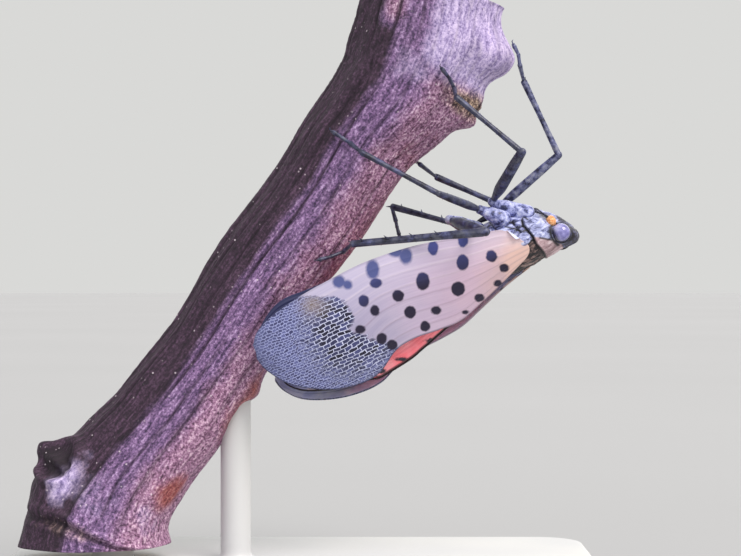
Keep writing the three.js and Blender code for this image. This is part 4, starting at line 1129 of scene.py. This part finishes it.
def make_forewings():
    left = forewing_surface(1)
    patterns = {}
    for side, word in SIDES:
        surface = forewing_surface(side)
        shares = []

        def place(u, v):
            shares.append((u, v))
            back, out, up = surface(u, v)
            normal = surface_normal(surface, u, v, side)
            ridge = sum(bell((v - vein) * WING_WIDTH, 0.09) for vein in MAIN_VEINS)
            ripple = 0.05 * noise.noise(Vector((u * 9, v * 2.2, 3.0)))
            lift = CAD_MEMBRANE / 2 + 0.02 * ridge * smooth(u, 0.02, 0.1) + ripple
            spot = Vector((back, out, up)) + normal * lift
            spot.x -= ROOT_BULGE * (1 - smooth(u, 0, 0.08)) * max(math.sin(math.pi * v), 0) ** 0.8
            spot.z -= FRONT_FLAP * smooth(u, 0, 0.04) * (1 - smooth(u, 0.06, 0.2)) * smooth(v, 0.6, 1)
            return at(*spot)

        wing = sheet_form("forewing_membrane_" + word, 300, 128, place, side)
        if side == 1:
            u, v = np.array(shares).T
            flat = np.array([list(left(a, b)) for a, b in shares])
            points = np.array([list(at(*spot)) for spot in flat])
            steps = np.linspace(0, 1, 21)
            chord = np.interp(u, steps, [(left(a, 1) - left(a, 0)).length for a in steps])
            border = np.interp(v, *zip(*NET_BORDER))
            patterns = {
                "spot": spot_distance(points, WING_SPOTS, left),
                "soft_spot": spot_distance(points, SOFT_SPOTS, left),
                "net": (u - border) * FOREWING_LENGTH,
                "edge": np.minimum(np.minimum(v, 1 - v) * chord, (1 - u) * FOREWING_LENGTH),
                "core": mark_share(points, NET_CORE, left),
                "patch": mark_share(points, NET_PATCH, left),
                "net_along": flat[:, 0],
                "net_across": 0.512 * flat[:, 1] - 0.858 * flat[:, 2],
                "vein": np.clip(sum(bell_all((v - vein) * chord, 0.07) for vein in MAIN_VEINS), 0, 1),
            }
        for name, values in patterns.items():
            attribute(wing, name, values)
        dress(wing, FOREWING, "forewing", "forewing_" + word)
        wing.data.materials.append(UNDERSIDE)
        modify(wing, "SOLIDIFY", thickness=MEMBRANE * MM, offset=-1, material_offset=1)


def make_hindwings():
    shape = HINDWING_SHAPE
    for side, word in SIDES:
        over = forewing_surface(side)

        def under(u, v):
            return over(u, v) - surface_normal(over, u, v, side) * shape["depth"]

        def inner_edge(u):
            low, high = np.interp(u, *zip(*HINDWING_REACH)), 0.6
            if under(u, low).y * side > shape["mid_gap"]:
                return low
            for _ in range(20):
                middle = (low + high) / 2
                low, high = (low, middle) if under(u, middle).y * side > shape["mid_gap"] else (middle, high)
            return high

        inner = {}
        shares, rims = [], []

        def place(u, v):
            wing_u = shape["start"] + (shape["end"] - shape["start"]) * u
            key = round(u, 5)
            if key not in inner:
                inner[key] = inner_edge(wing_u)
            outer = 1 + shape["over_costal"] * bell(wing_u - 0.79, 0.13) - 0.05 * (1 - u)
            wing_v = inner[key] + (outer - inner[key]) * v
            shares.append((wing_u, wing_v))
            rims.append((wing_v - inner[key]) * WING_WIDTH)
            normal = surface_normal(over, wing_u, wing_v, side)
            pleat = 0.06 * math.sin(v * math.pi * 9) * smooth(u, 0, 0.2)
            return at(*(under(wing_u, wing_v) + normal * (CAD_MEMBRANE / 2 + pleat)))

        wing = sheet_form("hindwing_membrane_" + word, 200, 96, place, side)
        u, v = np.array(shares).T
        wing_edge = np.array(rims)
        mirrored = forewing_surface(1)
        left_points = np.array([list(at(*mirrored(a, b))) for a, b in shares])
        attribute(wing, "spot", spot_distance(left_points, HINDWING_SPOTS, mirrored))
        attribute(wing, "band", (u - 0.66 + 0.14 * smooth_all(v, 0.0, 0.4)) * 3.2)
        attribute(wing, "rim", 1 - smooth_all(wing_edge, 0.05, 0.14))
        modify(wing, "SOLIDIFY", thickness=MEMBRANE * 0.8 * MM, offset=-1)
        dress(wing, HINDWING, "hindwing", "hindwing_" + word)


make_forewings()
make_hindwings()

# The legs
LEGS = {
    "front_left": {"root": (2.75, 1.45, -2.85), "hip": (4.75, 1.25, -4.75), "knee": (15.66, -4.7, 31.58),
                   "ankle": (11.06, -4.3, 35.48), "foot": [(10.84, 36.32), (10.5, 36.95), (10.03, 37.5)],
                   "near": True, "femur": 0.44, "tibia": 0.22},
    # The far front leg's dusting is raised above the others' as painted light, to show it lit blue-grey
    "front_right": {"root": (2.75, -1.45, -2.85), "hip": (4.6, -1.1, -4.75), "knee": (18.84, 2.0, 31.76),
                    "ankle": (16.3, 2.2, 37.2), "foot": [(16.2, 38.2), (16.0, 39.0), (15.4, 39.7)],
                    "near": False, "femur": 0.37, "tibia": 0.24, "dust_and_light": 0.3},
    "mid_left": {"root": (4.5, 1.85, -3.1), "hip": (5.7, 2.45, -4.25), "knee": (9.87, -4.9, 28.64),
                 "ankle": (4.42, -4.0, 31.61), "foot": [(3.64, 32.22), (3.1, 32.6), (2.6, 33.0)],
                 "near": True, "femur": 0.32, "tibia": 0.21},
    "mid_right": {"root": (4.5, -1.85, -3.1), "hip": (5.4, -2.4, -4.2), "knee": (15.48, 4.9, 27.91),
                  "ankle": (9.9, 2.6, 30.2), "foot": [(8.75, 31.0), (8.2, 31.55), (7.6, 32.1)],
                  "near": False, "femur": 0.34, "tibia": 0.25},
    "hind_left": {"root": (6.5, 1.45, -3.3), "hip": (8.1, 2.2, -4.75), "knee": (13.1, -5.4, 25.98),
                  "ankle": (3.78, -4.0, 25.16), "foot": [(2.94, 24.74), (2.1, 24.4), (1.3, 24.12)],
                  "near": True, "femur": 0.44, "tibia": 0.33},
    "hind_right": {"root": (6.5, -1.45, -3.3), "hip": (7.9, -2.1, -4.7), "knee": (14.69, 4.6, 25.89),
                   "ankle": (6.68, 7.5, 28.19), "toes": [(7.0, 7.4, 27.1), (7.1, 7.35, 26.6),
                   (7.24, 7.3, 26.1)],
                   "femur": 0.42, "tibia": 0.25},
}
FOOT_LIFT = 0.3


def bark_at(x, z, near, lift):
    """The bark over an X and Z, on the viewer's side or the far one."""
    middles = [curve_point(STEM_MIDDLES, step / 400) for step in range(401)]
    gaps = [math.hypot(middle.x - x, middle.z - z) for middle in middles]
    best = gaps.index(min(gaps)) / 400
    centre, right = stem_frame(best)
    across = (x - centre.x) * right.x + (z - centre.z) * right.z
    sign = 1 if near else -1
    angle = sign * math.pi / 2
    for _ in range(8):
        angle = sign * math.acos(min(max(across / stem_radius(best, angle), -1), 1))
    return stem_point(best, angle, lift)


def toe_pieces(ankle, toes, last):
    widths = [0.18, 0.15, 0.17, 0.15]
    joints = [ankle, *toes]
    pieces = [tube("toe", [start, start.lerp(end, 0.6), end], [narrow * 0.8, wide * 0.85, wide], 16, 20, 1.1)
              for start, end, wide, narrow in zip(joints, joints[1:], widths, widths[1:])]
    return pieces + [ball("pad", toes[-1] + last * 0.12, (0.14, 0.14, 0.1), segments=16, rings=10)]


def claw_ends(toe, last, down):
    ends = []
    for spread in (-1, 1):
        base = toe + last * 0.1 + FAR_SIDE * (0.08 * spread)
        bend = base + last * 0.26 + FAR_SIDE * (0.16 * spread)
        ends += [(base, bend, 0.055), (bend, bend + last * 0.08 + down * 0.14, 0.04)]
    return ends


def hair_ends(start, end, thickness, count):
    axis = (end - start).normalized()
    across = axis.cross(FAR_SIDE).normalized()
    ends = []
    for step in range(count):
        angle = 2.4 * step
        out = across * math.cos(angle) + FAR_SIDE * math.sin(angle)
        base = start.lerp(end, 0.08 + 0.86 * step / count) + out * thickness * 0.8
        ends.append((base, base + out * 0.16 + axis * 0.12, 0.018))
    return ends


def make_leg(name, leg):
    root, hip = at(*leg["root"]), at(*leg["hip"])
    knee, ankle = Vector(leg["knee"]), Vector(leg["ankle"])
    toes = [Vector(toe) for toe in leg["toes"]] if "toes" in leg else [
        bark_at(x, z, leg["near"], FOOT_LIFT) for x, z in leg["foot"]]
    femur, tibia = leg["femur"], leg["tibia"]
    thigh, shin = (knee - hip).normalized(), (ankle - knee).normalized()
    pieces = [
        tube("coxa", [root, root.lerp(hip, 0.55), hip.lerp(root, 0.06)], [0.6, 0.52, 0.36], 28, 40, 0.9),
        ball("trochanter", hip + thigh * 0.16, (0.34, 0.34, 0.34), segments=28, rings=18),
        tube("femur", [hip + thigh * 0.2, hip.lerp(knee, 0.33), hip.lerp(knee, 0.7), knee - thigh * 0.12],
             [0.2, femur * 0.9, femur * 0.85, femur * 0.72], 28, 60, 0.82, ridged=0.05),
        tube("knee", [knee - thigh * 0.22, knee, knee + shin * 0.3],
             [femur * 0.6, femur * 0.72, tibia * 0.8], 20, 24, 0.95),
        tube("tibia", [knee + shin * 0.2, knee.lerp(ankle, 0.5), ankle - shin * 0.08],
             [tibia * 0.9, tibia * 0.75, min(tibia, 0.25) * 0.95], 24, 60, 0.9, ridged=0.08),
    ]
    last = (toes[-1] - toes[-2]).normalized()
    down = -last.cross(FAR_SIDE).normalized()
    pieces += toe_pieces(ankle, toes, last)
    spines = claw_ends(toes[-1], last, down)
    if name.startswith("hind"):
        out = Vector((0, -1 if leg.get("near") else 1, 0.8))
        out = (out - shin * out.dot(shin)).normalized()
        for number in range(1, 5):
            base = knee.lerp(ankle, 0.15 + 0.75 * number / 4)
            spines.append((base, base + out * 0.62 + shin * 0.35, 0.13))
    # The crown of short spines round the end of the shin
    for step in range(6):
        turn = (step - 2.5) * 0.5
        out = (FAR_SIDE * math.sin(turn) + down * math.cos(turn)).normalized()
        spines.append((ankle - shin * 0.05 + out * 0.1, ankle + out * 0.26 + shin * 0.22, 0.05))
    pieces.append(thorns("spines", spines, 8))
    hairs = hair_ends(knee, ankle, tibia * 0.7, 26) + hair_ends(hip, knee, femur * 0.8, 14)
    pieces.append(thorns("hairs", hairs, 4))
    # Wax powder, thickest on the coxa and the trochanter, and raised on the far front leg as painted light
    for number, piece in enumerate(pieces):
        dust_and_light_share = (1.0, 0.7)[number] if number < 2 else leg.get("dust_and_light", 0.1)
        attribute(piece, "dust_and_light_share", [dust_and_light_share] * len(piece.data.vertices))
    nodes = [part + name for part in ("coxa_", "femur_", "tibia_", "tarsus_")]
    dress(joined("leg_" + name, pieces), LEG, "leg", *nodes)


for name, leg in LEGS.items():
    make_leg(name, leg)
